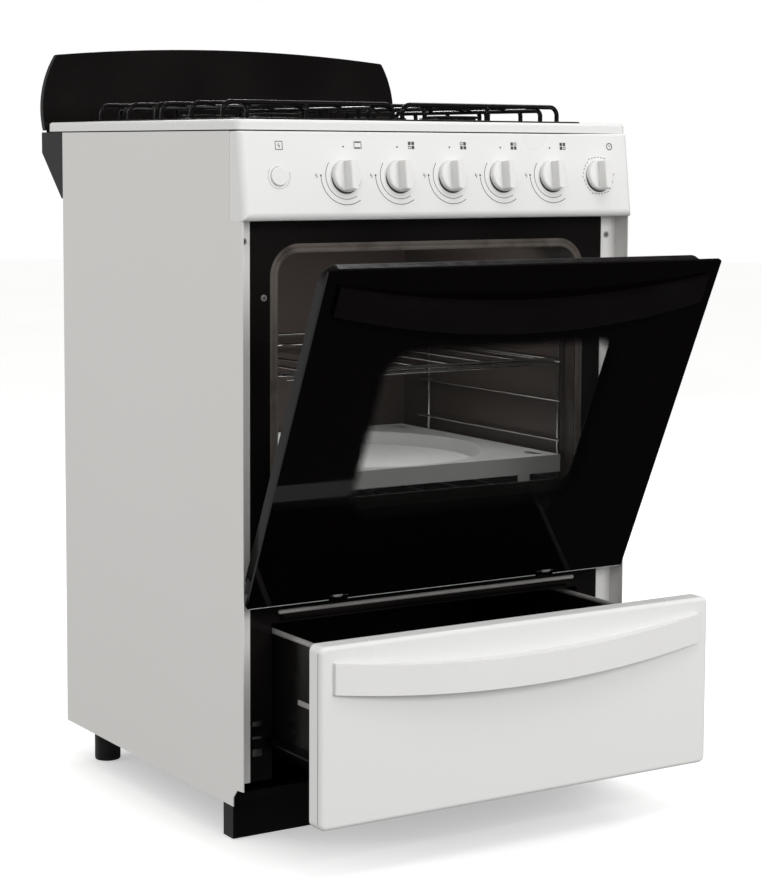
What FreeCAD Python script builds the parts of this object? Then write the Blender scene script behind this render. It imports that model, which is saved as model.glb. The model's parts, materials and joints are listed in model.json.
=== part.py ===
"""Freestanding four-burner gas range with a drop-down oven door and a storage drawer.

Millimetres, +Z up, the front faces -Y.  The origin is on the floor, at the middle
of the plinth's front lower edge.  The model stands in the pose with the oven door
ajar and the drawer partly drawn out.
"""
import FreeCAD
import Part
import math
import os

V = FreeCAD.Vector

# ---- overall sizes
overall_width = 560.0
hob_height = 847.0           # floor to the top of the white hob rim
cabinet_depth = 490.0        # side panel, front edge to back edge
plinth_setback = 39.0        # side panel front edge to the plinth face
floor_gap = 45.0             # floor to the bottom edge of the side panels
drawer_front_height = 207.0
open_door_angle = 24.75      # degrees from closed, in the modelled pose
open_drawer_travel = 167.0   # from closed, in the modelled pose

# ---- sheet metal and glass
skin = 1.0                   # cabinet sheet
liner = 1.2                  # enamelled oven sheet
glass = 4.0
fit_gap = 0.5                # between separate pieces that must not touch
seat = 0.2                   # between pieces that are screwed or clamped together
play = 0.05                  # radial clearance of a pin or shaft in its hole

# ---- side panels
panel_hem = 2.8              # thickness of the rolled front edge
panel_nose = 12.0            # length over which the front edge curves in
column_depth = 26.0          # front edge to the recessed column face
column_width = 25.0          # outer face to the column's inner edge
column_screw_inset = 17.0    # outer face to the column screws
column_screw_drop = 24.0     # control panel to the upper column screws
screw_hole = 1.6
screw_head = 4.0
screw_head_rise = 1.2
stud_shift = 5.2             # the frame studs off the middle of the frame's upright
stud_drop = 52.0             # oven mouth's top to the frame studs
toe_notch_depth = 22.0
toe_notch_rise = 22.0
back_flange = 9.0

# ---- hob
hob_rim = 12.0
hob_wall = 1.2
hob_front_inset = 9.5        # side panel front edge to the hob's front edge
hob_overhang = 47.5          # the hob past the side panels' back edge
hob_corner = 9.0
hob_edge = 4.0
cooktop_side_margin = 30.0   # the hob's side to the black cooktop
cooktop_front = 52.0         # side panel front edge to the black cooktop
cooktop_rear_margin = 8.0    # the cooktop to the side panels' back edge
cooktop_rise = 2.5
cooktop_corner = 24.0

# ---- burners and pan supports
burner_side_inset = 147.0    # the hob's side to a burner axis
burner_front = 190.0         # side panel front edge to the front burner axes
burner_rear = 128.0          # rear burner axes to the side panels' back edge
burner_cup_radius = 24.0
burner_cup_wall = 4.0
burner_cup_floor = 3.0
burner_crown_radius = 33.0
burner_crown_rise = 4.0
burner_slots = 24
burner_slot = 1.6            # width of a flame slot
burner_cap_radius = 36.0
burner_cap_rise = 3.2
burner_neck = 26.0           # length of the cup below the cooktop
igniter_radius = 2.2
igniter_rise = 5.0
igniter_gap = 6.0            # the crown to the electrode's axis
rod_radius = 2.9             # pan support wire
support_side_inset = 35.0    # the hob's side to a support's outer legs
support_inner = 7.0          # centre line to a support's inner legs
support_front = 110.0        # side panel front edge to the supports
support_rear = 46.0          # the supports to the side panels' back edge
support_rise = 22.0          # cooktop to the top of the wires
support_bend = 11.0
support_middle_gap = 16.0    # between the two middle cross wires
support_rail_inset = 30.0    # outer legs to the lengthwise rails
support_rest = 0.3           # cooktop to the wire tips
wire_sink = 1.0              # how far crossing wires are welded into each other
finger_reach = 30.0          # burner axis to the finger tips

# ---- backsplash and vent cover
vent_gap = 18.5              # behind the hob
splash_base_inset = 5.0      # the hob's side to the panel's foot
splash_top_inset = 23.0
splash_bulge = 7.0           # how far each side stands outside a straight line
splash_side_rise = 91.0      # hob to the upper corners
splash_crown_rise = 103.5    # hob to the middle of the arched top
splash_waist_rise = 21.0
splash_corner = 5.0
backsplash_return = 9.0
cover_side_inset = 1.0
cover_rise = 88.0            # the vent cover below the hob's underside
cover_slope = 28.0           # the cover's knee below the hob's underside
cover_foot = 6.0

# ---- control panel, knobs and button
panel_face_height = 102.5
panel_low_y = -7.1           # from the side panels' front edge plane
panel_high_y = 6.5
panel_back = 28.0
panel_edge = 8.0
panel_top_edge = 2.5
panel_wall = 1.5
panel_gap = 1.5              # between the hob's underside and what stands below it
control_rise = 51.0          # panel's lower edge to the knob axes
first_knob_inset = 138.0     # left side to the oven knob's axis
last_knob_inset = 123.2      # right side to the last burner knob's axis
burner_knobs = 4
timer_inset = 51.0
button_inset = 49.0
knob_radius = 19.0
knob_skirt = 7.0
knob_skirt_edge = 2.5
knob_depth = 21.0
knob_bar_width = 12.5
knob_bar_draft = 1.5         # each side of the bar leans in by this much
knob_bar_taper = 1.5         # the bar's ends lean in by this much
knob_bar_edge = 2.0
knob_bar_inset = 0.6         # bar end inside the skirt's rim
knob_standoff = 0.8
knob_grip = 6.0              # stem's length inside the knob
stem_radius = 4.0
stem_length = 34.0
stem_hole = 1.5              # radial gap round a stem in the control panel
button_radius = 11.0
button_hole = 0.4
button_depth = 6.0           # behind the panel's face
button_proud = 2.5
button_travel = 3.0
button_edge = 1.2
switch_gap = 1.5             # left behind the pressed button
manifold_radius = 7.0
manifold_wall = 1.5
manifold_y = 56.0            # side panel front edge to the manifold
manifold_drop = 14.0         # knob axes to the manifold
manifold_bend = 16.0
tap_radius = 10.0
tap_setback = 14.0           # panel's face to a tap
tap_length = 22.0
inlet_radius = 10.48         # G1/2 thread, outside
inlet_length = 18.0
inlet_sink = 4.0             # thread inside the back panel
inlet_drop = 147.0           # below the hob
inlet_side_inset = 22.0
inlet_hole = 4.0             # radial gap in the back panel
timer_box = 36.0
timer_box_depth = 26.0
timer_setback = 12.0
spark_box = (80.0, 45.0, 26.0)
spark_drop = 60.0
spark_setback = 300.0
spark_outlets = 6

# ---- oven
oven_side_margin = 63.0      # cabinet side to the oven mouth
mouth_rise = 57.5            # door's lower edge to the oven mouth
mouth_drop = 35.5            # door's upper edge to the oven mouth
opening_corner = 28.0
cavity_sill = 23.0           # the cavity's floor below the mouth
cavity_rear_gap = 61.6       # the cavity to the cabinet's back edge
cavity_flange = 13.0
insulation = 20.0
seal_width = 10.5
seal_rise = 2.2
flue_radius = 21.0
flue_wall = 1.0
flue_setback = 60.0          # the cavity's rear to the flue
floor_plate_rise = 81.0      # mouth to the top of the oven floor plate
floor_plate_skirt = 22.0
floor_plate_gap = 9.8
floor_leg_x = 150.0
swage_radius = 178.0
swage_depth = 16.0
swage_draft = 6.0
burner_tube = 7.0
burner_tube_rise = 26.0
burner_tube_half = 70.0
rack_wire = 2.5
rack_thin_wire = 1.6
rack_lift = 3.2              # rung to the rack that rests on it
rack_front_drop = 6.0        # rack to its lower front wire
rack_back_rise = 14.0        # rack to its raised rear wire
rack_spacing = 51.0
ladder_pitch = 51.0
ladder_gap = 8.0             # cavity wall to the ladder wires
ladder_foot = 47.5           # mouth to the lowest rung
ladder_head = 80.0           # least height from the highest rung to the oven's roof
rack_rung = 4                # the rack rests on the fourth rung, or on the highest
ladder_end = 9.0             # uprights beyond the last rungs

# ---- oven door
door_side_inset = 5.5
door_drawer_gap = 16.5       # drawer front to the door's lower edge
door_panel_gap = 2.5         # door's upper edge to the control panel
door_face = -3.7             # glass face from the side panels' front edge plane
door_glass_corner = 3.0
door_frame_inset = 6.5
door_frame_corner = 20.0
door_depth = 28.0
hinge_rise = 5.5             # door's lower edge to the hinge axis
hinge_y = 8.0
hinge_pin = 3.0
hinge_pin_length = 4.8
hinge_flange = 5.5
hinge_flange_depth = 1.5
bracket_gap = 2.2            # door frame to the pivot brackets
bracket_sheet = 3.0
bracket_boss = 7.0
bracket_half_height = 4.5
window_side_inset = 108.5
window_rise = 124.5
window_drop = 100.5
window_corner = 12.0
inner_glass_margin = 14.0
door_handle_inset = 16.5
door_handle_drop = 19.0      # door's upper edge to the handle's ends
door_handle_sag = 25.0
handle_band = 35.0
handle_end_depth = 5.0
handle_bow = 13.0
handle_wall = 3.0
clip_x = 151.0
clip_half = 13.0
clip_sheet = 1.2

# ---- drawer
drawer_side_inset = 4.5
drawer_low = 64.0
drawer_front_depth = 24.4
drawer_corner = 8.0
drawer_edge = 5.0
box_side_gap = 54.5          # drawer front's side to the box
box_rise = 23.0              # drawer front's lower edge to the box
box_drop = 25.0              # drawer front's upper edge to the box rim
box_rear_gap = 69.0          # closed drawer box to the cabinet's back edge
box_corner = 25.0
box_roll = 3.0
drawer_handle_inset = 16.5
drawer_handle_drop = 18.5
drawer_handle_sag = 17.5
runner_rise = 26.0           # box floor to the runner
runner_width = 10.0
runner_thickness = 2.4
runner_play = 1.6            # above and below a runner
rail_sheet = 1.5
strip_rise = 84.0            # box floor to the stiffening strip
strip_height = 6.0
strip_depth = 2.5
strip_length = 112.0

# ---- front frame
frame_sheet = 1.2
drawer_head_gap = 10.0       # box rim to the frame's drawer opening
drawer_side_play = 4.0
slot_play = 5.0              # round a runner in the frame
rail_radius = 6.0
rail_inset = 4.0             # cross rail's end inside the oven mouth's side
rail_drop = 7.0              # drawer front's upper edge to the cross rail

# ---- plinth, feet, base
plinth_inset = 9.0
plinth_return = 24.0
base_rise = 13.0             # side panels' bottom edge to the cabinet floor
foot_radius = 17.0
foot_pad = 38.0
foot_edge = 2.0
foot_side_inset = 34.0
foot_rear_inset = 53.0       # the cabinet's back edge to a rear foot's axis
shank_radius = 5.0

# ---- derived places
face_y = -plinth_setback                      # plane of the side panels' front edges
half = overall_width / 2
back_y = face_y + cabinet_depth
hob_underside = hob_height - hob_rim
panel_top = hob_underside - panel_gap
panel_high = panel_top
panel_low = panel_high - panel_face_height
control_height = panel_low + control_rise
column_inner = half - column_width
column_y = face_y + column_depth
frame_y = column_y + skin + seat
cooktop_z = hob_height + cooktop_rise
hob_front_y = face_y + hob_front_inset
hob_back_y = back_y + hob_overhang
splash_y = hob_back_y + vent_gap
cover_low = hob_underside - cover_rise
cover_knee = hob_underside - cover_slope
drawer_top = drawer_low + drawer_front_height
drawer_half_width = half - drawer_side_inset
door_low = drawer_top + door_drawer_gap
door_top = panel_low - door_panel_gap
door_half_width = half - door_side_inset
opening_half_width = half - oven_side_margin
opening_low = door_low + mouth_rise
opening_high = door_top - mouth_drop
cavity_low = opening_low - cavity_sill
cavity_front = frame_y + frame_sheet
cavity_back = back_y - cavity_rear_gap
floor_plate_height = opening_low + floor_plate_rise
rung_room = opening_high - ladder_head - opening_low - ladder_foot
rung_heights = [opening_low + ladder_foot + rung * ladder_pitch
                for rung in range(max(1, int(rung_room / ladder_pitch) + 1))]
rack_height = rung_heights[min(rack_rung, len(rung_heights)) - 1] + rack_lift
ladder_x = opening_half_width - ladder_gap
hinge_height = door_low + hinge_rise
hinge_point = V(0, face_y + hinge_y, hinge_height)
glass_y = face_y + door_face
window_half_width = door_half_width - window_side_inset
window_low = door_low + window_rise
window_high = door_top - window_drop
door_handle_half = door_half_width - door_handle_inset
door_handle_end_z = door_top - door_handle_drop
drawer_face = glass_y
drawer_handle_half = drawer_half_width - drawer_handle_inset
drawer_handle_end_z = drawer_top - drawer_handle_drop
box_half_width = drawer_half_width - box_side_gap
box_low = drawer_low + box_rise
box_high = drawer_top - box_drop
box_front = drawer_face + drawer_front_depth + seat
box_rear = back_y - box_rear_gap
runner_height = box_low + runner_rise
drawer_opening_high = box_high + drawer_head_gap
rail_height = drawer_top - rail_drop
rail_half = opening_half_width - rail_inset
plinth_half_width = half - plinth_inset
base_height = floor_gap + base_rise
foot_x = half - foot_side_inset
foot_y = back_y - foot_rear_inset
inlet_x = half - inlet_side_inset
inlet_height = hob_height - inlet_drop
lean = math.atan2(panel_high_y - panel_low_y, panel_high - panel_low)
control_axis = V(0, -math.cos(lean), math.sin(lean))
control_y = face_y + panel_low_y + control_rise * math.tan(lean)
first_knob_x = first_knob_inset - half
knob_pitch = (half - last_knob_inset - first_knob_x) / burner_knobs
knob_places = [first_knob_x + i * knob_pitch for i in range(burner_knobs + 1)]
timer_x = half - timer_inset
button_x = button_inset - half
burner_x = half - burner_side_inset
burner_rows = {"front": face_y + burner_front, "rear": back_y - burner_rear}
burner_places = {
    f"{row}_{side}": (sign * burner_x, y)
    for row, y in burner_rows.items()
    for side, sign in (("left", -1), ("right", 1))
}


# ---- shape helpers
def block(x, y, z):
    """A box from three (low, high) pairs."""
    return Part.makeBox(x[1] - x[0], y[1] - y[0], z[1] - z[0], V(x[0], y[0], z[0]))


def spaced(first, last, pitch):
    """Evenly spaced places from first to last, about one pitch apart."""
    count = max(1, round((last - first) / pitch))
    return [first + (last - first) * step / count for step in range(count + 1)]


def mirrored_pair(shape):
    """The shape and its mirror image across the middle of the range."""
    return Part.makeCompound([shape, shape.mirror(V(0, 0, 0), V(1, 0, 0))])


def edges_along(shape, axis, pick=None):
    """Straight edges parallel to an axis, filtered by a test on their midpoint."""
    found = []
    for edge in shape.Edges:
        ends = [vertex.Point for vertex in edge.Vertexes]
        if len(ends) != 2:
            continue
        run = (ends[1] - ends[0]).normalize()
        middle = (ends[0] + ends[1]) * 0.5
        if abs(run.dot(axis)) > 0.999 and (pick is None or pick(middle)):
            found.append(edge)
    return found


def rounded_block(x, y, z, radius, axis):
    """A box whose four edges along one axis are rounded."""
    shape = block(x, y, z)
    return shape.makeFillet(radius, edges_along(shape, axis))


def cylinder(radius, start, end):
    """A solid round bar between two points."""
    run = end - start
    return Part.makeCylinder(radius, run.Length, start, run)


def prism(points, run):
    """A solid made by moving a closed polygon along a vector."""
    wire = Part.makePolygon(list(points) + [points[0]])
    return Part.Face(wire).extrude(run)


def loft_path(points, bend):
    """A wire of straight runs joined by tangent arcs of one bend radius."""
    edges = []
    start = points[0]
    for before, corner, after in zip(points, points[1:], points[2:]):
        into = (corner - before).normalize()
        out = (after - corner).normalize()
        turn = into.getAngle(out)
        setback = bend * math.tan(turn / 2)
        first = corner - into * setback
        last = corner + out * setback
        inward = (out - into).normalize()
        centre = corner + inward * (bend / math.cos(turn / 2))
        middle = centre - inward * bend
        edges.append(Part.LineSegment(start, first).toShape())
        edges.append(Part.Arc(first, middle, last).toShape())
        start = last
    edges.append(Part.LineSegment(start, points[-1]).toShape())
    return Part.Wire(edges)


def bent_rod(points, radius, bend):
    """A round wire bent through the given points."""
    path = loft_path(points, bend)
    run = points[1] - points[0]
    section = Part.Face(Part.Wire(Part.makeCircle(radius, points[0], run)))
    return path.makePipe(section)


def fuse(shapes):
    """One solid from several touching ones."""
    whole = shapes[0]
    for shape in shapes[1:]:
        whole = whole.fuse(shape)
    return whole.removeSplitter()


def group(shapes):
    """Several separate solids kept in one node."""
    return Part.makeCompound(shapes)


def swing_door(shape):
    """Turn a piece of the closed door to the modelled pose."""
    turned = shape.copy()
    turned.rotate(hinge_point, V(1, 0, 0), open_door_angle)
    return turned


def slide_drawer(shape):
    """Move a piece of the closed drawer to the modelled pose."""
    moved = shape.copy()
    moved.translate(V(0, -open_drawer_travel, 0))
    return moved


def on_panel(x, depth):
    """A point on a control's axis, a distance behind the control panel's face."""
    return V(x, control_y, control_height) - control_axis * depth


def arc_band(half_length, end_z, sag, band, y):
    """The face between two parallel sagging arcs, at one y."""
    top = Part.Arc(V(-half_length, y, end_z), V(0, y, end_z - sag), V(half_length, y, end_z))
    low_z = end_z - band
    low = Part.Arc(V(half_length, y, low_z), V(0, y, low_z - sag), V(-half_length, y, low_z))
    right = Part.LineSegment(V(half_length, y, end_z), V(half_length, y, low_z))
    left = Part.LineSegment(V(-half_length, y, low_z), V(-half_length, y, end_z))
    return Part.Face(Part.Wire([part.toShape() for part in (top, right, low, left)]))


def bowed_face(half_length, y, end_depth, bow, z):
    """The plan of a handle that bows out from a flat face at y."""
    front = Part.Arc(V(-half_length, y - end_depth, z), V(0, y - end_depth - bow, z),
                     V(half_length, y - end_depth, z))
    right = Part.LineSegment(V(half_length, y - end_depth, z), V(half_length, y, z))
    back = Part.LineSegment(V(half_length, y, z), V(-half_length, y, z))
    left = Part.LineSegment(V(-half_length, y, z), V(-half_length, y - end_depth, z))
    return Part.Face(Part.Wire([part.toShape() for part in (front, right, back, left)]))


def bow_handle(half_length, end_z, sag, y):
    """A sagging band that bows away from the face at y, hollow and open below."""
    reach = handle_end_depth + handle_bow
    band = arc_band(half_length, end_z, sag, handle_band, y - reach)
    outer = band.extrude(V(0, reach, 0))
    height = handle_band + sag
    plan = bowed_face(half_length, y, handle_end_depth, handle_bow, end_z - height)
    outer = outer.common(plan.extrude(V(0, 0, height)))
    inner_half = half_length - 2 * handle_wall
    pocket_band = arc_band(inner_half, end_z - handle_wall, sag, handle_band, y - reach)
    pocket = pocket_band.extrude(V(0, reach, 0))
    low = end_z - height - handle_wall
    pocket_plan = bowed_face(inner_half, y, handle_end_depth - handle_wall, handle_bow, low)
    pocket = pocket.common(pocket_plan.extrude(V(0, 0, height)))
    return outer.cut(pocket)


# ---- cabinet
def stud_place(side):
    """Where a stud sits on the front frame, beside the oven mouth."""
    x = (opening_half_width + seal_width + column_inner) / 2 - stud_shift
    return V(side * x, frame_y, opening_high - stud_drop)


def column_screw(side):
    """Where the upper screw sits on a column's face."""
    return V(side * (half - column_screw_inset), column_y, panel_low - column_screw_drop)


def side_panel(side):
    """A pressed side with a rolled front edge and a recessed column flange."""
    outer = side * half
    inner = side * (half - skin)
    hem = side * (half - panel_hem)
    toe_z = floor_gap + toe_notch_rise
    toe_y = face_y + toe_notch_depth
    shoulder_y = face_y + panel_back
    blank = prism([
        V(inner, toe_y, floor_gap), V(inner, back_y, floor_gap), V(inner, back_y, panel_top),
        V(inner, shoulder_y + fit_gap, panel_top), V(inner, shoulder_y + fit_gap, panel_low),
        V(inner, face_y + panel_nose, panel_low), V(inner, face_y + panel_nose, toe_z),
        V(inner, toe_y, toe_z - toe_notch_rise / 2),
    ], V(outer - inner, 0, 0))
    nose_y = face_y + panel_nose
    tip = side * (half - panel_hem * 0.7)
    bulge = side * (half - panel_hem * 0.18)
    curve = Part.Arc(V(outer, nose_y, toe_z), V(bulge, face_y + panel_nose * 0.45, toe_z),
                     V(tip, face_y, toe_z))
    lines = [
        Part.LineSegment(V(tip, face_y, toe_z), V(hem, face_y, toe_z)),
        Part.LineSegment(V(hem, face_y, toe_z), V(hem, nose_y, toe_z)),
        Part.LineSegment(V(hem, nose_y, toe_z), V(outer, nose_y, toe_z)),
    ]
    outline = Part.Wire([curve.toShape()] + [line.toShape() for line in lines])
    tall = V(0, 0, panel_low - toe_z)
    nose = Part.Face(outline).extrude(tall)
    xs = sorted((hem, hem + side * skin))
    web = block(xs, (face_y, column_y + skin), (toe_z, panel_low))
    xs = sorted((side * column_inner, hem + side * skin))
    column = block(xs, (column_y, column_y + skin), (toe_z + 2, panel_low))
    place = column_screw(side)
    hole = cylinder(screw_hole, place - V(0, 1, 0), place + V(0, skin + 1, 0))
    xs = sorted((side * (half - skin - back_flange), inner))
    flange = block(xs, (back_y - skin, back_y), (floor_gap + 15, panel_top - 1))
    return fuse([blank, nose, web, column, flange]).cut(hole)


def back_panel():
    """The rear sheet, with two rows of vent slots and the gas inlet hole."""
    inside = half - skin - fit_gap
    sheet_y = back_y - 2 * skin
    sheet = block((-inside, inside), (sheet_y, sheet_y + skin),
                  (floor_gap + 3, panel_top - fit_gap))
    cuts = []
    for row_z in (150.0, 190.0):
        for step in range(-4, 5):
            x = step * 48.0
            cuts.append(rounded_block((x - 16, x + 16), (sheet_y - 1, sheet_y + 2),
                                      (row_z, row_z + 7), 3.4, V(0, 1, 0)))
    cuts.append(cylinder(inlet_radius + inlet_hole, V(inlet_x, sheet_y - 1, inlet_height),
                         V(inlet_x, sheet_y + 2, inlet_height)))
    return sheet.cut(group(cuts))


def base_pan():
    """The floor of the cabinet, with its edges turned down."""
    inside = half - skin - fit_gap
    rear = back_y - 3 * skin
    front = frame_y + frame_sheet + fit_gap
    outer = block((-inside, inside), (front, rear), (floor_gap + 1, base_height))
    hollow = block((-inside + skin, inside - skin), (front + skin, rear - skin),
                   (floor_gap, base_height - skin))
    return outer.cut(hollow)


def front_frame():
    """The black enamelled frame around the oven mouth and the drawer opening."""
    low = floor_gap + toe_notch_rise + 2
    high = panel_low - fit_gap
    width = half - panel_hem - skin - fit_gap
    sheet = block((-width, width), (frame_y, frame_y + frame_sheet), (low, high))
    mouth = rounded_block((-opening_half_width, opening_half_width),
                          (frame_y - 1, frame_y + 3), (opening_low, opening_high),
                          opening_corner, V(0, 1, 0))
    leg = box_half_width + drawer_side_play
    lower = block((-leg, leg), (frame_y - 1, frame_y + 3), (low - 1, drawer_opening_high))
    slot_low = runner_height - slot_play
    slot_high = runner_height + runner_thickness + slot_play
    reach = box_half_width + runner_width + 3
    slots = block((-reach, reach), (frame_y - 1, frame_y + 3), (slot_low, slot_high))
    studs = [cylinder(screw_hole, stud_place(side) - V(0, 1, 0),
                      stud_place(side) + V(0, frame_sheet + 1, 0)) for side in (-1, 1)]
    sheet = sheet.cut(group([mouth, lower, slots] + studs))
    rail = cylinder(rail_radius, V(-rail_half, frame_y + 2, rail_height),
                    V(rail_half, frame_y + 2, rail_height))
    return fuse([sheet, rail])


def plinth():
    """The black toe board with its two short side returns."""
    top = floor_gap + skin
    outer = block((-plinth_half_width, plinth_half_width), (0, plinth_return), (0, top))
    inner_half = plinth_half_width - liner
    hollow = block((-inner_half, inner_half), (liner, plinth_return + 1), (-1, top + 1))
    return outer.cut(hollow)


def rear_feet():
    """Two round adjustable feet with threaded shanks."""
    pad = cylinder(foot_radius, V(foot_x, foot_y, 0), V(foot_x, foot_y, foot_pad))
    pad = pad.makeFillet(foot_edge, [edge for edge in pad.Edges if edge.Closed])
    shank = cylinder(shank_radius, V(foot_x, foot_y, foot_pad - 1),
                     V(foot_x, foot_y, base_height - skin - seat))
    return mirrored_pair(fuse([pad, shank]))


# ---- oven
def oven_cavity():
    """The enamelled oven liner, open at the front, with a mounting flange."""
    wide = opening_half_width + liner
    outer = rounded_block((-wide, wide), (cavity_front, cavity_back),
                          (cavity_low - liner, opening_high + liner), opening_corner,
                          V(0, 1, 0))
    inner = rounded_block((-opening_half_width, opening_half_width),
                          (cavity_front - 1, cavity_back - liner),
                          (cavity_low, opening_high), opening_corner - liner, V(0, 1, 0))
    reach = cavity_flange
    flange = rounded_block((-wide - reach, wide + reach), (cavity_front, cavity_front + liner),
                           (cavity_low - reach, opening_high + reach), opening_corner,
                           V(0, 1, 0))
    flue = cylinder(flue_radius + 1, V(0, cavity_back - flue_setback, opening_high - 2),
                    V(0, cavity_back - flue_setback, opening_high + 3))
    return outer.fuse(flange).cut(inner).cut(flue).removeSplitter()


def oven_insulation():
    """A mineral wool blanket round the liner."""
    inner_half = opening_half_width + liner + fit_gap
    start = cavity_front + liner + fit_gap
    outer = rounded_block((-inner_half - insulation, inner_half + insulation),
                          (start, cavity_back + fit_gap + insulation),
                          (cavity_low - liner - fit_gap - insulation,
                           opening_high + liner + fit_gap + insulation),
                          opening_corner, V(0, 1, 0))
    hollow = rounded_block((-inner_half, inner_half), (start - 1, cavity_back + fit_gap),
                           (cavity_low - liner - fit_gap, opening_high + liner + fit_gap),
                           opening_corner, V(0, 1, 0))
    flue = cylinder(flue_radius + 4, V(0, cavity_back - flue_setback, opening_high - 5),
                    V(0, cavity_back - flue_setback, opening_high + insulation + 10))
    return outer.cut(hollow).cut(flue)


def flue_duct():
    """The exhaust pipe from the oven roof to the gap behind the hob."""
    y = cavity_back - flue_setback
    foot = V(0, y, opening_high + liner + seat)
    knee = V(0, y, (opening_high + panel_top) / 2 - 8)
    tip = V(0, back_y - 30, panel_top - 30)
    bend = 30
    outer = bent_rod([foot, knee, tip], flue_radius, bend)
    inner = bent_rod([foot - V(0, 0, 1), knee, tip + (tip - knee).normalize()],
                     flue_radius - flue_wall, bend)
    return outer.cut(inner)


def oven_seal():
    """The heat-proof bead round the oven mouth."""
    y = (frame_y - seal_rise, frame_y)
    x = opening_half_width + seal_width
    outer = rounded_block((-x, x), y, (opening_low - seal_width, opening_high + seal_width),
                          opening_corner + seal_width, V(0, 1, 0))
    front = [edge for edge in outer.Edges if edge.BoundBox.YMax < y[0] + 0.01]
    outer = outer.makeFillet(seal_rise * 0.6, front)
    hole = rounded_block((-opening_half_width, opening_half_width), (y[0] - 1, y[1] + 1),
                         (opening_low, opening_high), opening_corner, V(0, 1, 0))
    return outer.cut(hole)


def oven_floor_plate():
    """The lift-out oven floor, dished in the middle, with burner slots at its corners."""
    x = opening_half_width - floor_plate_gap
    front = cavity_front + 14
    rear = cavity_back - liner - 10
    top = floor_plate_height
    low = top - floor_plate_skirt
    outer = block((-x, x), (front, rear), (low, top))
    hollow = block((-x + liner, x - liner), (front + liner, rear - liner),
                   (low - 1, top - liner))
    legs = [block((leg_x - 9, leg_x + 9), (leg_y, leg_y + liner),
                  (cavity_low + seat, low + 1))
            for leg_x in (-floor_leg_x, floor_leg_x) for leg_y in (front, rear - liner)]
    bottom = V(0, (front + rear) / 2, top - swage_depth)
    narrow = swage_radius - swage_draft
    dish = Part.makeCone(narrow, swage_radius, swage_depth, bottom - V(0, 0, liner))
    hollow_dish = Part.makeCone(narrow - liner, swage_radius - liner + 0.4,
                                swage_depth * (1 + 0.4 / swage_draft), bottom)
    slots = []
    for slot_x in (-x + 22, x - 22):
        for slot_y in (front + 30, rear - 30):
            slots.append(rounded_block((slot_x - 6, slot_x + 6), (slot_y - 15, slot_y + 15),
                                       (top - 3, top + 3), 5, V(0, 0, 1)))
    shell = outer.cut(hollow).fuse(dish).cut(hollow_dish)
    return fuse([shell.cut(group(slots))] + legs)


def oven_burner():
    """A tubular burner with two rows of ports and its feed tube."""
    z = cavity_low + burner_tube_rise
    front = cavity_front + 50
    rear = cavity_back - 60
    x = burner_tube_half
    loop = [V(-x, rear, z), V(-x, front, z), V(x, front, z), V(x, rear, z)]
    tube = bent_rod(loop, burner_tube, 40)
    feed = cylinder(burner_tube - 1, V(0, front - 30, z), V(0, front + 2, z))
    feet = []
    for foot_x in (-x, x):
        for y in (front + 70, rear - 20):
            feet.append(block((foot_x - 4, foot_x + 4), (y, y + 2),
                              (cavity_low + seat, z - burner_tube + 2)))
    return fuse([tube, feed] + feet)


def rack_supports():
    """Two chromed wire ladders that hang inside the oven walls."""
    front = cavity_front + 24
    rear = cavity_back - 76
    shapes = [cylinder(rack_wire * 0.8, V(ladder_x, front - 6, z), V(ladder_x, rear + 25, z))
              for z in rung_heights]
    for y in (front, rear):
        shapes.append(cylinder(rack_wire, V(ladder_x + 2, y, rung_heights[0] - ladder_end),
                               V(ladder_x + 2, y, rung_heights[-1] + ladder_end)))
    return mirrored_pair(fuse(shapes))


def oven_rack():
    """The wire shelf, which rests on the rungs and has a raised wire at the rear."""
    x = ladder_x - 3.5
    front = cavity_front + 16
    rear = cavity_back - 30
    z = rack_height
    front_z = z - rack_front_drop
    back_z = z + rack_back_rise
    bend = 10.0
    wires = []
    for side in (-1, 1):
        half_loop = [V(0, front, z), V(side * x, front, z), V(side * x, rear, z), V(0, rear, z)]
        wires.append(bent_rod(half_loop, rack_wire, bend))
    wires.append(cylinder(rack_thin_wire, V(-x + bend, front, front_z),
                          V(x - bend, front, front_z)))
    wires.append(bent_rod([V(-x + 2 * bend, rear, z), V(-x + 2 * bend, rear, back_z),
                           V(x - 2 * bend, rear, back_z), V(x - 2 * bend, rear, z)],
                          rack_thin_wire, 5.0))
    for wire_x in spaced(-x + rack_spacing, x - rack_spacing, rack_spacing):
        wires.append(cylinder(rack_thin_wire, V(wire_x, front, z), V(wire_x, rear, z)))
        wires.append(cylinder(rack_thin_wire, V(wire_x, front, z), V(wire_x, front, front_z)))
    return fuse(wires)


# ---- hob
def hob_top():
    """The white pressed hob, hollow below, with four burner holes."""
    outer = rounded_block((-half, half), (hob_front_y, hob_back_y),
                          (hob_underside, hob_height), hob_corner, V(0, 0, 1))
    rim = [edge for edge in outer.Edges if edge.BoundBox.ZMin > hob_height - 0.01]
    outer = outer.makeFillet(hob_edge, rim)
    wall = hob_wall
    inner = rounded_block((-half + wall, half - wall),
                          (hob_front_y + wall, hob_back_y - wall),
                          (hob_underside - 1, hob_height - wall), hob_corner - wall,
                          V(0, 0, 1))
    holes = []
    for x, y in burner_places.values():
        holes.append(cylinder(burner_cup_radius + 3, V(x, y, hob_underside),
                              V(x, y, hob_height + 1)))
    return outer.cut(inner).cut(group(holes))


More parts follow.
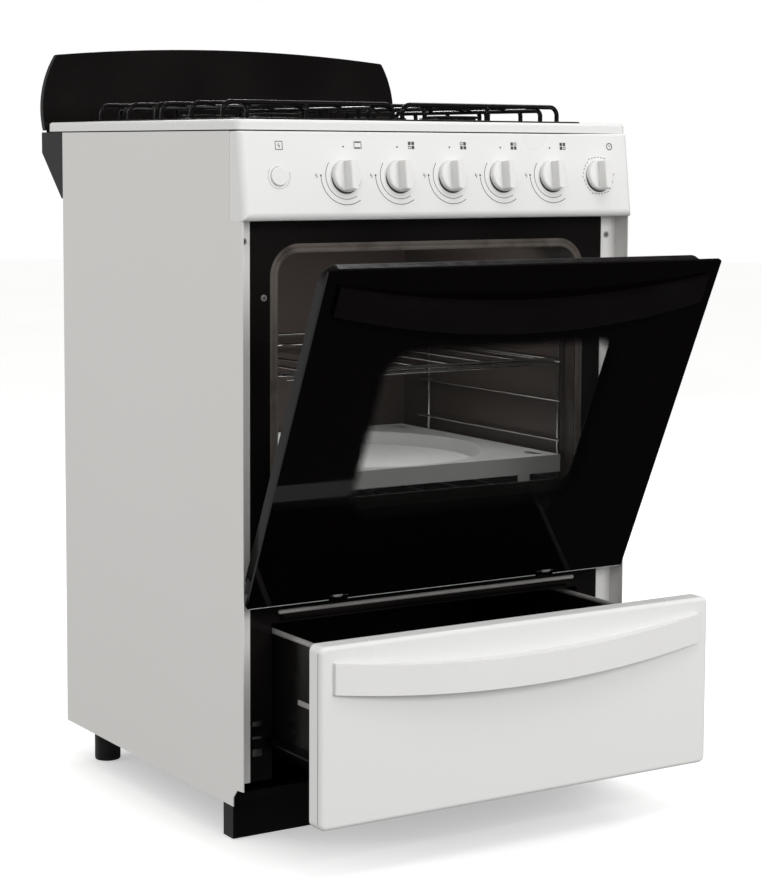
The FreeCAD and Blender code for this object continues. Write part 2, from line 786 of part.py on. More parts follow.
def cooktop():
    """The black enamelled cooktop on the hob."""
    x = half - cooktop_side_margin
    y = (face_y + cooktop_front, back_y - cooktop_rear_margin)
    plate = rounded_block((-x, x), y, (hob_height, cooktop_z), cooktop_corner, V(0, 0, 1))
    rim = [edge for edge in plate.Edges if edge.BoundBox.ZMin > cooktop_z - 0.01]
    plate = plate.makeFillet(1.2, rim)
    holes = []
    for x, y in burner_places.values():
        holes.append(cylinder(burner_cup_radius + play, V(x, y, hob_height - 1),
                              V(x, y, cooktop_z + 1)))
    return plate.cut(group(holes))


def igniter_place(x, y):
    """The electrode stands on the burner's inner diagonal."""
    offset = (burner_crown_radius + igniter_gap) * math.sqrt(0.5)
    return V(x - math.copysign(offset, x), y + offset, 0)


def burner_base(x, y):
    """The aluminium burner cup with its slotted crown."""
    cup = cylinder(burner_cup_radius, V(x, y, cooktop_z - burner_neck), V(x, y, cooktop_z))
    crown = cylinder(burner_crown_radius, V(x, y, cooktop_z),
                     V(x, y, cooktop_z + burner_crown_rise))
    bore = cylinder(burner_cup_radius - burner_cup_wall,
                    V(x, y, cooktop_z - burner_neck + burner_cup_floor),
                    V(x, y, cooktop_z + burner_crown_rise + 1))
    body = cup.fuse(crown).cut(bore)
    slots = []
    for step in range(burner_slots):
        slot = block((burner_cup_radius - burner_cup_wall - 2, burner_crown_radius + 2),
                     (-burner_slot / 2, burner_slot / 2),
                     (cooktop_z + 1.6, cooktop_z + burner_crown_rise + 1))
        slot.rotate(V(0, 0, 0), V(0, 0, 1), step * 360 / burner_slots)
        slot.translate(V(x, y, 0))
        slots.append(slot)
    return body.cut(group(slots))


def burner_cap(x, y):
    """The loose enamelled cap on a burner."""
    low = cooktop_z + burner_crown_rise
    cap = cylinder(burner_cap_radius, V(x, y, low), V(x, y, low + burner_cap_rise))
    top = [edge for edge in cap.Edges if edge.Closed and edge.BoundBox.ZMin > low + 1]
    cap = cap.makeFillet(1.8, top)
    spigot = cylinder(burner_cup_radius - burner_cup_wall - 2, V(x, y, low - 3),
                      V(x, y, low + 0.5))
    return fuse([cap, spigot])


def burner_igniters():
    """Four ceramic electrodes, one beside each burner."""
    shapes = []
    for x, y in burner_places.values():
        foot = igniter_place(x, y)
        foot.z = cooktop_z + 0.1
        shapes.append(cylinder(igniter_radius, foot, foot + V(0, 0, igniter_rise)))
    return group(shapes)


def pan_support(side):
    """A bent wire grid over one front and one rear burner."""
    foot = cooktop_z + support_rest
    top = cooktop_z + support_rise - rod_radius
    front = face_y + support_front
    rear = back_y - support_rear
    left, right = sorted((side * support_inner, side * (half - support_side_inset)))
    mid_y = (front + rear) / 2
    mid_ys = (mid_y - support_middle_gap / 2, mid_y + support_middle_gap / 2)
    shapes = []
    for y in (front, mid_ys[0], mid_ys[1], rear):
        arch = [V(left, y, foot), V(left, y, top), V(right, y, top), V(right, y, foot)]
        shapes.append(bent_rod(arch, rod_radius, support_bend))
    span = 2 * rod_radius - wire_sink
    low = top - span
    tight_bend = 0.7 * support_bend
    for x in (left + support_rail_inset, right - support_rail_inset):
        arch = [V(x, front - span, foot), V(x, front - span, low),
                V(x, rear + span, low), V(x, rear + span, foot)]
        shapes.append(bent_rod(arch, rod_radius, tight_bend))
    axis_x = side * burner_x
    front_axis, rear_axis = burner_rows["front"], burner_rows["rear"]
    for y in (front_axis, rear_axis):
        for hand, edge_x in ((-1, left), (1, right)):
            finger = [V(edge_x, y, foot), V(edge_x, y, top),
                      V(axis_x + hand * finger_reach, y, top)]
            shapes.append(bent_rod(finger, rod_radius, support_bend))
    finger_z = top - 0.6 * rod_radius
    for edge_y, tip_y in ((front - span, front_axis - finger_reach),
                          (rear + span, rear_axis + finger_reach)):
        finger = [V(axis_x, edge_y, foot), V(axis_x, edge_y, finger_z),
                  V(axis_x, tip_y, finger_z)]
        shapes.append(bent_rod(finger, rod_radius, tight_bend))
    for start_y, tip_y in ((mid_ys[0], front_axis + finger_reach),
                           (mid_ys[1], rear_axis - finger_reach)):
        shapes.append(cylinder(rod_radius, V(axis_x, start_y, finger_z),
                               V(axis_x, tip_y, finger_z)))
    return fuse(shapes)


def backsplash():
    """The black splash panel: curved sides, arched top, edges returned to the rear."""
    def outline(offset, y, low):
        base = half - splash_base_inset - offset
        top = half - splash_top_inset - offset
        waist = (base + top) / 2 + splash_bulge
        side_z = hob_height + splash_side_rise - offset
        crown_z = hob_height + splash_crown_rise - offset
        side_mid = (hob_height + splash_waist_rise + side_z) / 2
        right = Part.Arc(V(base, y, low), V(waist, y, side_mid), V(top, y, side_z))
        arch = Part.Arc(V(top, y, side_z), V(0, y, crown_z), V(-top, y, side_z))
        left = Part.Arc(V(-top, y, side_z), V(-waist, y, side_mid), V(-base, y, low))
        bottom = Part.LineSegment(V(-base, y, low), V(base, y, low))
        return Part.Wire([piece.toShape() for piece in (right, arch, left, bottom)])

    low = hob_underside + 1.5
    shell = Part.Face(outline(0, splash_y, low)).extrude(V(0, backsplash_return, 0))
    corner_z = hob_height + splash_side_rise - 5
    shell = shell.makeFillet(splash_corner, edges_along(shell, V(0, 1, 0),
                                                        lambda p: p.z > corner_z))
    hollow = Part.Face(outline(liner, splash_y + liner, low - 1))
    shell = shell.cut(hollow.extrude(V(0, backsplash_return, 0)))
    tail_x = half - splash_base_inset - 2
    tail = block((-tail_x, tail_x), (splash_y, splash_y + liner), (cover_knee + 6, low + 1))
    return fuse([shell, tail])


def rear_vent_cover():
    """The folded black cover behind the cabinet that carries the backsplash."""
    rear = splash_y + liner + fit_gap + liner
    top = hob_underside - 1
    start = back_y + fit_gap
    wide = half - cover_side_inset
    profile = [V(-wide, start, cover_low), V(-wide, start + cover_foot, cover_low),
               V(-wide, rear, cover_knee), V(-wide, rear, top), V(-wide, start, top)]
    outer = prism(profile, V(2 * wide, 0, 0))
    inside = wide - liner
    slope = (cover_knee - cover_low) / (rear - start - cover_foot)
    drop = liner * math.hypot(1, slope)
    hollow = prism([V(-inside, start - 1, cover_low + liner),
                    V(-inside, start + cover_foot, cover_low + liner),
                    V(-inside, rear - liner, cover_knee + drop - slope * liner),
                    V(-inside, rear - liner, top + 1),
                    V(-inside, start - 1, top + 1)], V(2 * inside, 0, 0))
    return outer.cut(hollow)


# ---- controls
def control_panel():
    """The white fascia: a hollow box whose front leans back towards its top."""
    def profile(x, inset):
        return [V(x, face_y + panel_back + (1 if inset else 0), panel_low + inset),
                V(x, face_y + panel_low_y + inset, panel_low + inset),
                V(x, face_y + panel_high_y + inset, panel_high - inset),
                V(x, face_y + panel_back + (1 if inset else 0), panel_high - inset)]

    outer = prism(profile(-half, 0), V(2 * half, 0, 0))
    soft = []
    for edge in outer.Edges:
        box = edge.BoundBox
        at_front = box.YMax < face_y + panel_back - 5
        upright = box.ZLength > 50
        if at_front and (upright or box.ZMax < panel_low + 1):
            soft.append(edge)
    outer = outer.makeFillet(panel_edge, soft)
    top = [edge for edge in outer.Edges
           if edge.BoundBox.ZMin > panel_high - 0.01 and edge.BoundBox.YMax < face_y + 8]
    outer = outer.makeFillet(panel_top_edge, top)
    inner_half = half - panel_wall
    hollow = prism(profile(-inner_half, panel_wall), V(2 * inner_half, 0, 0))
    soft = []
    for edge in hollow.Edges:
        box = edge.BoundBox
        at_front = box.YMax < face_y + panel_back - 5
        if at_front and (box.ZLength > 50 or box.ZMax < panel_low + panel_wall + 1):
            soft.append(edge)
    hollow = hollow.makeFillet(panel_edge - panel_wall, soft)
    holes = []
    for x in knob_places + [timer_x]:
        holes.append(cylinder(stem_radius + stem_hole, on_panel(x, -10), on_panel(x, 12)))
    holes.append(cylinder(button_radius + button_hole, on_panel(button_x, -10),
                          on_panel(button_x, 12)))
    return outer.cut(hollow).cut(group(holes))


def knob_body(x):
    """A round skirt with a raised grip bar, without its bore."""
    base = on_panel(x, -knob_standoff)
    skirt = Part.makeCylinder(knob_radius, knob_skirt, base, control_axis)
    front = base + control_axis * knob_skirt
    rim = [edge for edge in skirt.Edges
           if edge.Closed and (edge.BoundBox.Center - front).Length < 0.5]
    skirt = skirt.makeFillet(knob_skirt_edge, rim)
    reach = knob_radius - knob_bar_inset
    drum = Part.makeCone(reach, reach - knob_bar_taper, knob_depth, base, control_axis)
    foot = knob_bar_width / 2
    crest = foot - knob_bar_draft
    bar = prism([V(-foot, 0, -reach), V(foot, 0, -reach), V(crest, knob_depth, -reach),
                 V(-crest, knob_depth, -reach)], V(0, 0, 2 * reach))
    bar = bar.makeFillet(knob_bar_edge, edges_along(bar, V(0, 0, 1),
                                                    lambda p: p.y > knob_depth / 2))
    bar.rotate(V(0, 0, 0), V(0, 0, 1), 180)
    bar.rotate(V(0, 0, 0), V(1, 0, 0), -math.degrees(lean))
    bar.translate(base)
    bar = bar.common(drum)
    return skirt.fuse(bar).removeSplitter()


def knob(x):
    """A gas knob, bored for its stem."""
    base = on_panel(x, -knob_standoff)
    bore = Part.makeCylinder(stem_radius + play, knob_skirt + knob_grip,
                             base - control_axis, control_axis)
    return knob_body(x).cut(bore)


def knob_stem(x):
    """The tap's turning shaft."""
    start = on_panel(x, -knob_standoff - knob_skirt + 1)
    return cylinder(stem_radius, start, start - control_axis * stem_length)


def timer_knob(x):
    """The timer's knob, made in one piece with its shaft."""
    start = on_panel(x, -knob_standoff - knob_skirt / 2)
    shaft = cylinder(stem_radius, start, start - control_axis * stem_length)
    return fuse([knob_body(x), shaft])


def gas_taps():
    """Five brass tap bodies between the manifold and the knobs."""
    shapes = []
    for x in knob_places:
        start = on_panel(x, tap_setback)
        end = V(x, face_y + manifold_y - manifold_radius - 1.5, start.z)
        body = cylinder(tap_radius, start, start - control_axis * tap_length)
        bore = cylinder(stem_radius + play, on_panel(x, 0), on_panel(x, 30))
        nut = block((x - 7, x + 7), (end.y - 16, end.y), (end.z - 13, end.z - 2))
        shapes.append(body.fuse(nut).cut(bore).removeSplitter())
    return group(shapes)


def gas_manifold():
    """The supply pipe: along the taps, back past the oven, down to the rear inlet."""
    y = face_y + manifold_y
    z = control_height - manifold_drop
    start = V(first_knob_x - 18, y, z)
    turn = V(inlet_x, y, z)
    down = V(inlet_x, back_y - 30, z)
    low = V(inlet_x, back_y - 30, inlet_height)
    end = V(inlet_x, back_y + 6, inlet_height)
    pipe = bent_rod([start, turn, down, low, end], manifold_radius, manifold_bend)
    thread_start = back_y - inlet_sink
    thread_end = thread_start + inlet_length
    thread = cylinder(inlet_radius, V(inlet_x, thread_start, inlet_height),
                      V(inlet_x, thread_end, inlet_height))
    bore = cylinder(manifold_radius - manifold_wall, V(inlet_x, back_y - 8, inlet_height),
                    V(inlet_x, thread_end + 1, inlet_height))
    return fuse([pipe, thread]).cut(bore)


def timer_housing():
    """The clockwork timer behind the control panel."""
    start = on_panel(timer_x, timer_setback)
    side = timer_box / 2
    box = rounded_block((timer_x - side, timer_x + side), (0, timer_box_depth),
                        (-side, side), 6, V(0, 1, 0))
    box.rotate(V(timer_x, 0, 0), V(1, 0, 0), -math.degrees(lean))
    box.translate(V(0, start.y, start.z))
    bore = cylinder(stem_radius + play, on_panel(timer_x, 5), on_panel(timer_x, 45))
    return box.cut(bore)


def ignition_button():
    """The round push button."""
    base = on_panel(button_x, button_depth)
    body = Part.makeCylinder(button_radius, button_depth + button_proud, base, control_axis)
    front = base + control_axis * (button_depth + button_proud)
    rim = [edge for edge in body.Edges
           if edge.Closed and (edge.BoundBox.Center - front).Length < 0.5]
    return body.makeFillet(button_edge, rim)


def ignition_switch():
    """The micro-switch behind the push button."""
    start = on_panel(button_x, button_depth + button_travel + switch_gap)
    side = button_radius - 2
    box = block((button_x - side, button_x + side), (0, 16), (-side, side))
    box.rotate(V(button_x, 0, 0), V(1, 0, 0), -math.degrees(lean))
    box.translate(V(0, start.y, start.z))
    return box


def spark_module():
    """The spark generator under the hob, with its six outlets."""
    wide, deep, tall = spark_box
    y = face_y + spark_setback
    z = panel_top - spark_drop
    top = z + tall
    body = rounded_block((-wide / 2, wide / 2), (y, y + deep), (z, top), 4, V(0, 0, 1))
    outlets = []
    for step in range(spark_outlets):
        x = (step + 1) * wide / (spark_outlets + 1) - wide / 2
        outlets.append(cylinder(3, V(x, y + deep / 2, top - 0.5), V(x, y + deep / 2, top + 6)))
    return fuse([body] + outlets)


# ---- oven door, modelled closed
def door_glass():
    """The printed black outer glass."""
    return rounded_block((-door_half_width, door_half_width), (glass_y, glass_y + glass),
                         (door_low, door_top), door_glass_corner, V(0, 1, 0))


def door_frame():
    """The pressed steel tray behind the glass, with the window opening."""
    x = door_half_width - door_frame_inset
    low = door_low + door_frame_inset
    high = door_top - door_frame_inset
    front = glass_y + glass + seat
    rear = glass_y + door_depth
    outer = rounded_block((-x, x), (front, rear), (low, high), door_frame_corner, V(0, 1, 0))
    edge = [e for e in outer.Edges if e.BoundBox.YMin > rear - 0.01]
    outer = outer.makeFillet(2.0, edge)
    hollow = rounded_block((-x + liner, x - liner), (front - 1, rear - liner),
                           (low + liner, high - liner), door_frame_corner - liner, V(0, 1, 0))
    window = rounded_block((-window_half_width, window_half_width), (front, rear + 1),
                           (window_low, window_high), window_corner, V(0, 1, 0))
    return outer.cut(hollow).cut(window)


def door_inner_glass():
    """The inner pane, held inside the tray over the window."""
    margin = inner_glass_margin
    rear = glass_y + door_depth - liner - seat
    return block((-window_half_width - margin, window_half_width + margin),
                 (rear - glass, rear), (window_low - margin, window_high + margin))


def door_handle():
    """The black band handle on the glass."""
    return bow_handle(door_handle_half, door_handle_end_z, door_handle_sag, glass_y)


def door_glass_clips():
    """Two chromed clips that hold the glass's lower edge."""
    shapes = []
    low = door_low - clip_sheet
    for x in (-clip_x, clip_x):
        xs = (x - clip_half, x + clip_half)
        jaw = block(xs, (glass_y - clip_sheet, glass_y), (low, door_low + 6))
        jaw = jaw.makeFillet(0.8, edges_along(jaw, V(1, 0, 0), lambda p: p.y < glass_y - 1))
        inner = glass_y + glass
        under = block(xs, (glass_y - 0.2, inner + clip_sheet), (low, door_low))
        riser = block(xs, (inner, inner + clip_sheet), (low, door_low + door_frame_inset))
        shapes.append(fuse([jaw, under, riser]))
    return group(shapes)


def door_hinge_pins():
    """A flanged pivot pin on each side of the door."""
    x = door_half_width - door_frame_inset
    y = hinge_point.y
    z = hinge_point.z
    face = x + hinge_flange_depth
    flange = cylinder(hinge_flange, V(x, y, z), V(face, y, z))
    pin = cylinder(hinge_pin, V(face - 0.1, y, z), V(face - 0.1 + hinge_pin_length, y, z))
    arm = block((x, face), (y - 4, y + 9), (z, z + 24))
    return mirrored_pair(fuse([flange, pin, arm]))


def hinge_brackets():
    """The pivot brackets fixed to the cabinet columns."""
    y = hinge_point.y
    z = hinge_point.z
    x = door_half_width - door_frame_inset + bracket_gap
    ear_x = (x, x + bracket_sheet)
    boss = cylinder(bracket_boss, V(ear_x[0], y, z), V(ear_x[1], y, z))
    tail = block(ear_x, (y, column_y - seat / 2),
                 (z - bracket_half_height, z + bracket_half_height))
    foot = block((column_inner + 3, ear_x[1]), (column_y - 1.4, column_y - seat / 2),
                 (z - bracket_half_height, z + 14))
    bore = cylinder(hinge_pin + play, V(ear_x[0] - 1, y, z), V(ear_x[1] + 1, y, z))
    return mirrored_pair(fuse([boss, tail, foot]).cut(bore))


# ---- drawer, modelled closed
def drawer_front():
    """The white pressed front, open at the rear."""
    x = drawer_half_width
    rear = drawer_face + drawer_front_depth
    outer = rounded_block((-x, x), (drawer_face, rear), (drawer_low, drawer_top),
                          drawer_corner, V(0, 1, 0))
    soft = [edge for edge in outer.Edges if edge.BoundBox.YMax < drawer_face + 0.01]
    outer = outer.makeFillet(drawer_edge, soft)
    hollow = rounded_block((-x + liner, x - liner), (drawer_face + liner, rear + 1),
                           (drawer_low + liner, drawer_top - liner), drawer_corner - liner,
                           V(0, 1, 0))
    soft = [edge for edge in hollow.Edges if edge.BoundBox.YMax < drawer_face + liner + 0.01]
    hollow = hollow.makeFillet(drawer_edge - liner, soft)
    return outer.cut(hollow)


def drawer_handle():
    """The white band handle on the drawer front."""
    return bow_handle(drawer_handle_half, drawer_handle_end_z, drawer_handle_sag, drawer_face)


def drawer_box():
    """The black pan of the drawer, with rolled edges and side runners."""
    x = box_half_width
    front = box_front
    rear = box_rear
    outer = block((-x, x), (front, rear), (box_low, box_high))
    outer = outer.makeFillet(box_corner, edges_along(outer, V(0, 1, 0),
                                                     lambda p: p.z < box_low + 1))
    hollow = block((-x + liner, x - liner), (front + liner, rear - liner),
                   (box_low + liner, box_high + 1))
    hollow = hollow.makeFillet(box_corner - liner, edges_along(
        hollow, V(0, 1, 0), lambda p: p.z < box_low + liner + 1))
    shapes = [outer.cut(hollow)]
    strip_low = box_low + strip_rise
    for side in (-1, 1):
        edge_x = side * (x - liner / 2)
        shapes.append(cylinder(box_roll, V(edge_x, front, box_high), V(edge_x, rear, box_high)))
        xs = sorted((side * (x - liner), side * (x + runner_width)))
        shapes.append(block(xs, (front + 30, rear - 4),
                            (runner_height, runner_height + runner_thickness)))
        xs = sorted((side * (x - liner), side * (x + strip_depth)))
        shapes.append(block(xs, (front + 6, front + 6 + strip_length),
                            (strip_low, strip_low + strip_height)))
        xs = sorted((side * (x - 60), side * (x - 30)))
        shapes.append(block(xs, (drawer_face + liner + seat, front + liner),
                            (box_high - 40, box_high - 12)))
    for y in (front + liner / 2, rear - liner / 2):
        shapes.append(cylinder(box_roll, V(-x + liner / 2, y, box_high),
                               V(x - liner / 2, y, box_high)))
    return fuse(shapes)


def drawer_rails():
    """The channel rails that carry the drawer's runners, with their front plates."""
    inner = box_half_width + 2.0
    outer = box_half_width + runner_width + 8
    low = runner_height - runner_play
    high = runner_height + runner_thickness + runner_play
    y = (frame_y + frame_sheet + 0.3, back_y - 30)
    web = block((outer - rail_sheet, outer), y, (low - rail_sheet, high + rail_sheet))
    ledge = block((inner, outer), y, (low - rail_sheet, low))
    cap = block((inner, outer), y, (high, high + rail_sheet))
    tab = block((outer - rail_sheet, column_inner - 1), (y[0], y[0] + rail_sheet),
                (low - rail_sheet, high + 14))
    rail = fuse([web, ledge, cap, tab])
    plate = block((box_half_width + 6, column_inner - 3),
                  (frame_y - rail_sheet, frame_y - 0.1),
                  (runner_height - 16, runner_height + 17))
    mouth = block((0, outer), (frame_y - 3, frame_y + 1), (low - 2.5, high + 2.5))
    return group([mirrored_pair(rail), mirrored_pair(plate.cut(mouth))])


def screw(place, direction, length):
    """A round-headed screw whose head stands on a face at a place."""
    head_rise = screw_head_rise
    dome = Part.makeCylinder(screw_head, head_rise, place, direction)
    front = place + direction * head_rise
    rim = [edge for edge in dome.Edges
           if edge.Closed and (edge.BoundBox.Center - front).Length < 0.5]
    dome = dome.makeFillet(0.7 * head_rise, rim)
    shank = cylinder(screw_hole - play, place + direction, place - direction * length)
    return fuse([dome, shank])


def cabinet_screws():
    """The screws on the columns and the studs on the front frame."""
    outward = V(0, -1, 0)
    shapes = []
    for side in (-1, 1):
        shapes.append(screw(column_screw(side) - V(0, seat / 2, 0), outward, skin))
        stud = stud_place(side)
        shapes.append(screw(stud - V(0, seat / 2, 0), outward, frame_sheet))
    return group(shapes)


def write(name, shape):
    """Write one sub-part as STEP and report its size."""
    bad = [solid for solid in shape.Solids if not solid.isValid() or solid.Volume <= 0]
    box = shape.BoundBox
    print(f"{name}: {len(shape.Solids)} solid(s), {shape.Volume / 1000:.1f} cm3, "
          f"x {box.XMin:.1f}..{box.XMax:.1f} y {box.YMin:.1f}..{box.YMax:.1f} "
          f"z {box.ZMin:.1f}..{box.ZMax:.1f}{'  INVALID' if bad else ''}")
    shape.exportStep(f"parts/{name}.step")


def main():
    os.makedirs("parts", exist_ok=True)
    write("side_panel_left", side_panel(-1))
    write("side_panel_right", side_panel(1))
    write("back_panel", back_panel())
    write("base_pan", base_pan())
    write("front_frame", front_frame())
    write("plinth", plinth())
    write("rear_feet", rear_feet())
    write("cabinet_screws", cabinet_screws())
    write("oven_cavity", oven_cavity())
    write("oven_insulation", oven_insulation())
    write("flue_duct", flue_duct())
    write("oven_seal", oven_seal())
    write("oven_floor_plate", oven_floor_plate())
    write("oven_burner", oven_burner())
    write("rack_supports", rack_supports())
    write("oven_rack", oven_rack())
    write("hob_top", hob_top())
    write("cooktop", cooktop())
    for place, (x, y) in burner_places.items():
        write(f"burner_base_{place}", burner_base(x, y))
        write(f"burner_cap_{place}", burner_cap(x, y))
    write("burner_igniters", burner_igniters())
    write("pan_support_left", pan_support(-1))
    write("pan_support_right", pan_support(1))
    write("backsplash", backsplash())
    write("rear_vent_cover", rear_vent_cover())
    write("control_panel", control_panel())
    names = ["oven"] + [f"burner_{number + 1}" for number in range(burner_knobs)]
    for name, x in zip(names, knob_places):
        write(f"{name}_knob", knob(x))
        write(f"{name}_stem", knob_stem(x))
    write("timer_knob", timer_knob(timer_x))
    write("timer_housing", timer_housing())
    write("gas_taps", gas_taps())
    write("gas_manifold", gas_manifold())
    write("ignition_button", ignition_button())
    write("ignition_switch", ignition_switch())
    write("spark_module", spark_module())
    write("hinge_brackets", hinge_brackets())
    write("drawer_rails", drawer_rails())
    for name, make in (("door_glass", door_glass), ("door_frame", door_frame),
                       ("door_inner_glass", door_inner_glass), ("door_handle", door_handle),
                       ("door_glass_clips", door_glass_clips),
                       ("door_hinge_pins", door_hinge_pins)):
        write(name, swing_door(make()))
    for name, make in (("drawer_front", drawer_front), ("drawer_handle", drawer_handle),
                       ("drawer_box", drawer_box)):
        write(name, slide_drawer(make()))


main()
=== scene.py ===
import bpy
import bmesh
import json
import math
from mathutils import Matrix, Vector


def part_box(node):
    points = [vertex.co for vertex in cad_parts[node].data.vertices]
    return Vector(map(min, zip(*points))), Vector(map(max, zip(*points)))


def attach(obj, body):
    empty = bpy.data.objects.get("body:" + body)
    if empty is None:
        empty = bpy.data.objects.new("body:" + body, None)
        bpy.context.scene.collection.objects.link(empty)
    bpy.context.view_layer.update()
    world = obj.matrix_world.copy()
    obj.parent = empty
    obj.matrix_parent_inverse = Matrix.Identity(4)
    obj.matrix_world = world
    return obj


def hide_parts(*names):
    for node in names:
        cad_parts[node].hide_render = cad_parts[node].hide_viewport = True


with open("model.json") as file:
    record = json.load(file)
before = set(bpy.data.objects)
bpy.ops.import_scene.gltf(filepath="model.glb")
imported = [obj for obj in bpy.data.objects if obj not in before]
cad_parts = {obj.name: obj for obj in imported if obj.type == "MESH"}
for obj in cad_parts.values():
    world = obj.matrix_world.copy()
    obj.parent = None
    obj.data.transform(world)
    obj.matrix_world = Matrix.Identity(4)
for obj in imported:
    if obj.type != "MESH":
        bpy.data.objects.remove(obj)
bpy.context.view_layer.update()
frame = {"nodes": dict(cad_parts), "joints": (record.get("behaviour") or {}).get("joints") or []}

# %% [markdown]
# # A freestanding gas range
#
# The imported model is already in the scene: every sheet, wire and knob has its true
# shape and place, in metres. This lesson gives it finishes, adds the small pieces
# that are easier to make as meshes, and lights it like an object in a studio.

nodes = frame["nodes"]

# %% [markdown]
# ## The camera
#
# The viewer stands well back, to the left of the range, with the eye a little below
# hob height, and a long lens keeps the upright edges nearly parallel. A lens shift
# frames the range without tilting the view any further down.

# %% Camera
CAMERA_PLACE = Vector((-1.4912, -2.2544, 0.8113))
TURN = math.radians(32.28)       # from +Y towards +X
TILT = math.radians(5.703)       # below the horizon
ROLL = math.radians(0.28)
LENS = 90.0                      # millimetres, for a sensor 36 mm wide
RISE = -0.08                     # lens shift, as a share of the frame

forward = Vector((math.sin(TURN) * math.cos(TILT), math.cos(TURN) * math.cos(TILT),
                  -math.sin(TILT)))
level_right = Vector((math.cos(TURN), -math.sin(TURN), 0))
level_up = level_right.cross(forward)
right = level_right * math.cos(ROLL) + level_up * math.sin(ROLL)
up = level_up * math.cos(ROLL) - level_right * math.sin(ROLL)
lens_data = bpy.data.cameras.new("camera")
lens_data.sensor_width = 36.0
lens_data.lens = LENS
lens_data.shift_y = RISE
lens_data.clip_start = 0.05
lens_data.clip_end = 50.0
camera = bpy.data.objects.new("camera", lens_data)
axes = Matrix((right, up, -forward)).transposed()
camera.matrix_world = Matrix.Translation(CAMERA_PLACE) @ axes.to_4x4()
bpy.context.scene.collection.objects.link(camera)
bpy.context.scene.camera = camera
print("camera", [round(v, 3) for v in CAMERA_PLACE])

# %% [markdown]
# ## A helper for finishes
#
# Every finish starts from the Principled shader. Flat values are set straight on its
# sockets. Detail comes from textures on Object coordinates, which are true metres
# here, so a grain of one millimetre has a scale of about one thousand.

# %% Finish helpers
class Finish:
    """A material and the few node patterns that this range needs."""

    def __init__(self, name, colour, roughness, **sockets):
        self.material = bpy.data.materials.new(name)
        self.material.use_nodes = True
        self.tree = self.material.node_tree
        self.shader = self.tree.nodes["Principled BSDF"]
        self.shader.inputs["Base Color"].default_value = (*colour, 1)
        self.shader.inputs["Roughness"].default_value = roughness
        for socket, value in sockets.items():
            self.shader.inputs[socket.replace("_", " ")].default_value = value
        self.colour = None
        self.bump = None
        self.coords = self.tree.nodes.new("ShaderNodeTexCoord").outputs["Object"]

    def node(self, kind, **links):
        made = self.tree.nodes.new(kind)
        for socket, source in links.items():
            self.tree.links.new(source, made.inputs[socket.replace("_", " ")])
        return made

    def place(self, stretch=(1, 1, 1), turn=(0, 0, 0), shift=(0, 0, 0), kind="POINT"):
        """Object coordinates, stretched, turned or moved."""
        mapping = self.node("ShaderNodeMapping", Vector=self.coords)
        mapping.vector_type = kind
        mapping.inputs["Location"].default_value = shift
        mapping.inputs["Rotation"].default_value = turn
        mapping.inputs["Scale"].default_value = stretch
        return mapping.outputs["Vector"]

    def noise(self, scale, detail=3.0, where=None):
        made = self.node("ShaderNodeTexNoise", Vector=where or self.coords)
        made.inputs["Scale"].default_value = scale
        made.inputs["Detail"].default_value = detail
        return made.outputs["Fac"]

    def cells(self, scale, feature="F1", where=None, output="Distance"):
        made = self.node("ShaderNodeTexVoronoi", Vector=where or self.coords)
        made.feature = feature
        made.inputs["Scale"].default_value = scale
        return made.outputs[output]

    def waves(self, scale, direction, distortion=0.0, where=None, kind="BANDS"):
        made = self.node("ShaderNodeTexWave", Vector=where or self.coords)
        made.wave_type = kind
        if kind == "BANDS":
            made.bands_direction = direction
        else:
            made.rings_direction = direction
        made.inputs["Scale"].default_value = scale
        made.inputs["Distortion"].default_value = distortion
        return made.outputs["Fac"]

    def between(self, source, low, high, start=0.0, end=1.0, smooth=False):
        """The source, spread so that low to high becomes start to end."""
        made = self.node("ShaderNodeMapRange", Value=source)
        made.interpolation_type = "SMOOTHSTEP" if smooth else "LINEAR"
        for socket, value in (("From Min", low), ("From Max", high),
                              ("To Min", start), ("To Max", end)):
            made.inputs[socket].default_value = value
        return made.outputs["Result"]

    def math(self, operation, first, second=None):
        made = self.tree.nodes.new("ShaderNodeMath")
        made.operation = operation
        for socket, value in zip(made.inputs, (first, second)):
            if isinstance(value, (int, float)):
                socket.default_value = value
            elif value is not None:
                self.tree.links.new(value, socket)
        return made.outputs["Value"]

    def tint(self, amount, colour):
        """Blends another colour in where the pattern is strong."""
        made = self.tree.nodes.new("ShaderNodeMix")
        made.data_type = "RGBA"
        base, over, out = made.inputs[6], made.inputs[7], made.outputs[2]
        self.tree.links.new(amount, made.inputs["Factor"])
        if self.colour:
            self.tree.links.new(self.colour, base)
        else:
            base.default_value = self.shader.inputs["Base Color"].default_value
        over.default_value = (*colour, 1)
        self.tree.links.new(out, self.shader.inputs["Base Color"])
        self.colour = out
        return self

    def dull(self, pattern, low, high, start=0.3, end=0.7):
        """Roughness that varies with a pattern."""
        spread = self.between(pattern, start, end, low, high)
        self.tree.links.new(spread, self.shader.inputs["Roughness"])
        return self

    def relief(self, pattern, depth, strength=1.0):
        """Bump of a real depth in metres, on top of any bump so far."""
        made = self.node("ShaderNodeBump", Height=pattern)
        made.inputs["Distance"].default_value = depth
        made.inputs["Strength"].default_value = strength
        if self.bump:
            self.tree.links.new(self.bump, made.inputs["Normal"])
        self.bump = made.outputs["Normal"]
        self.tree.links.new(self.bump, self.shader.inputs["Normal"])
        return self


def dress(finish, *names):
    """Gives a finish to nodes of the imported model."""
    for name in names:
        slots = nodes[name].data.materials
        slots.clear()
        slots.append(finish.material)


SIDES = ("left", "right")
BURNERS = [f"{row}_{side}" for row in ("front", "rear") for side in SIDES]
KNOBS = ["oven"] + [f"burner_{number}" for number in range(1, 5)]
print(len(BURNERS), "burners,", len(KNOBS), "gas knobs")
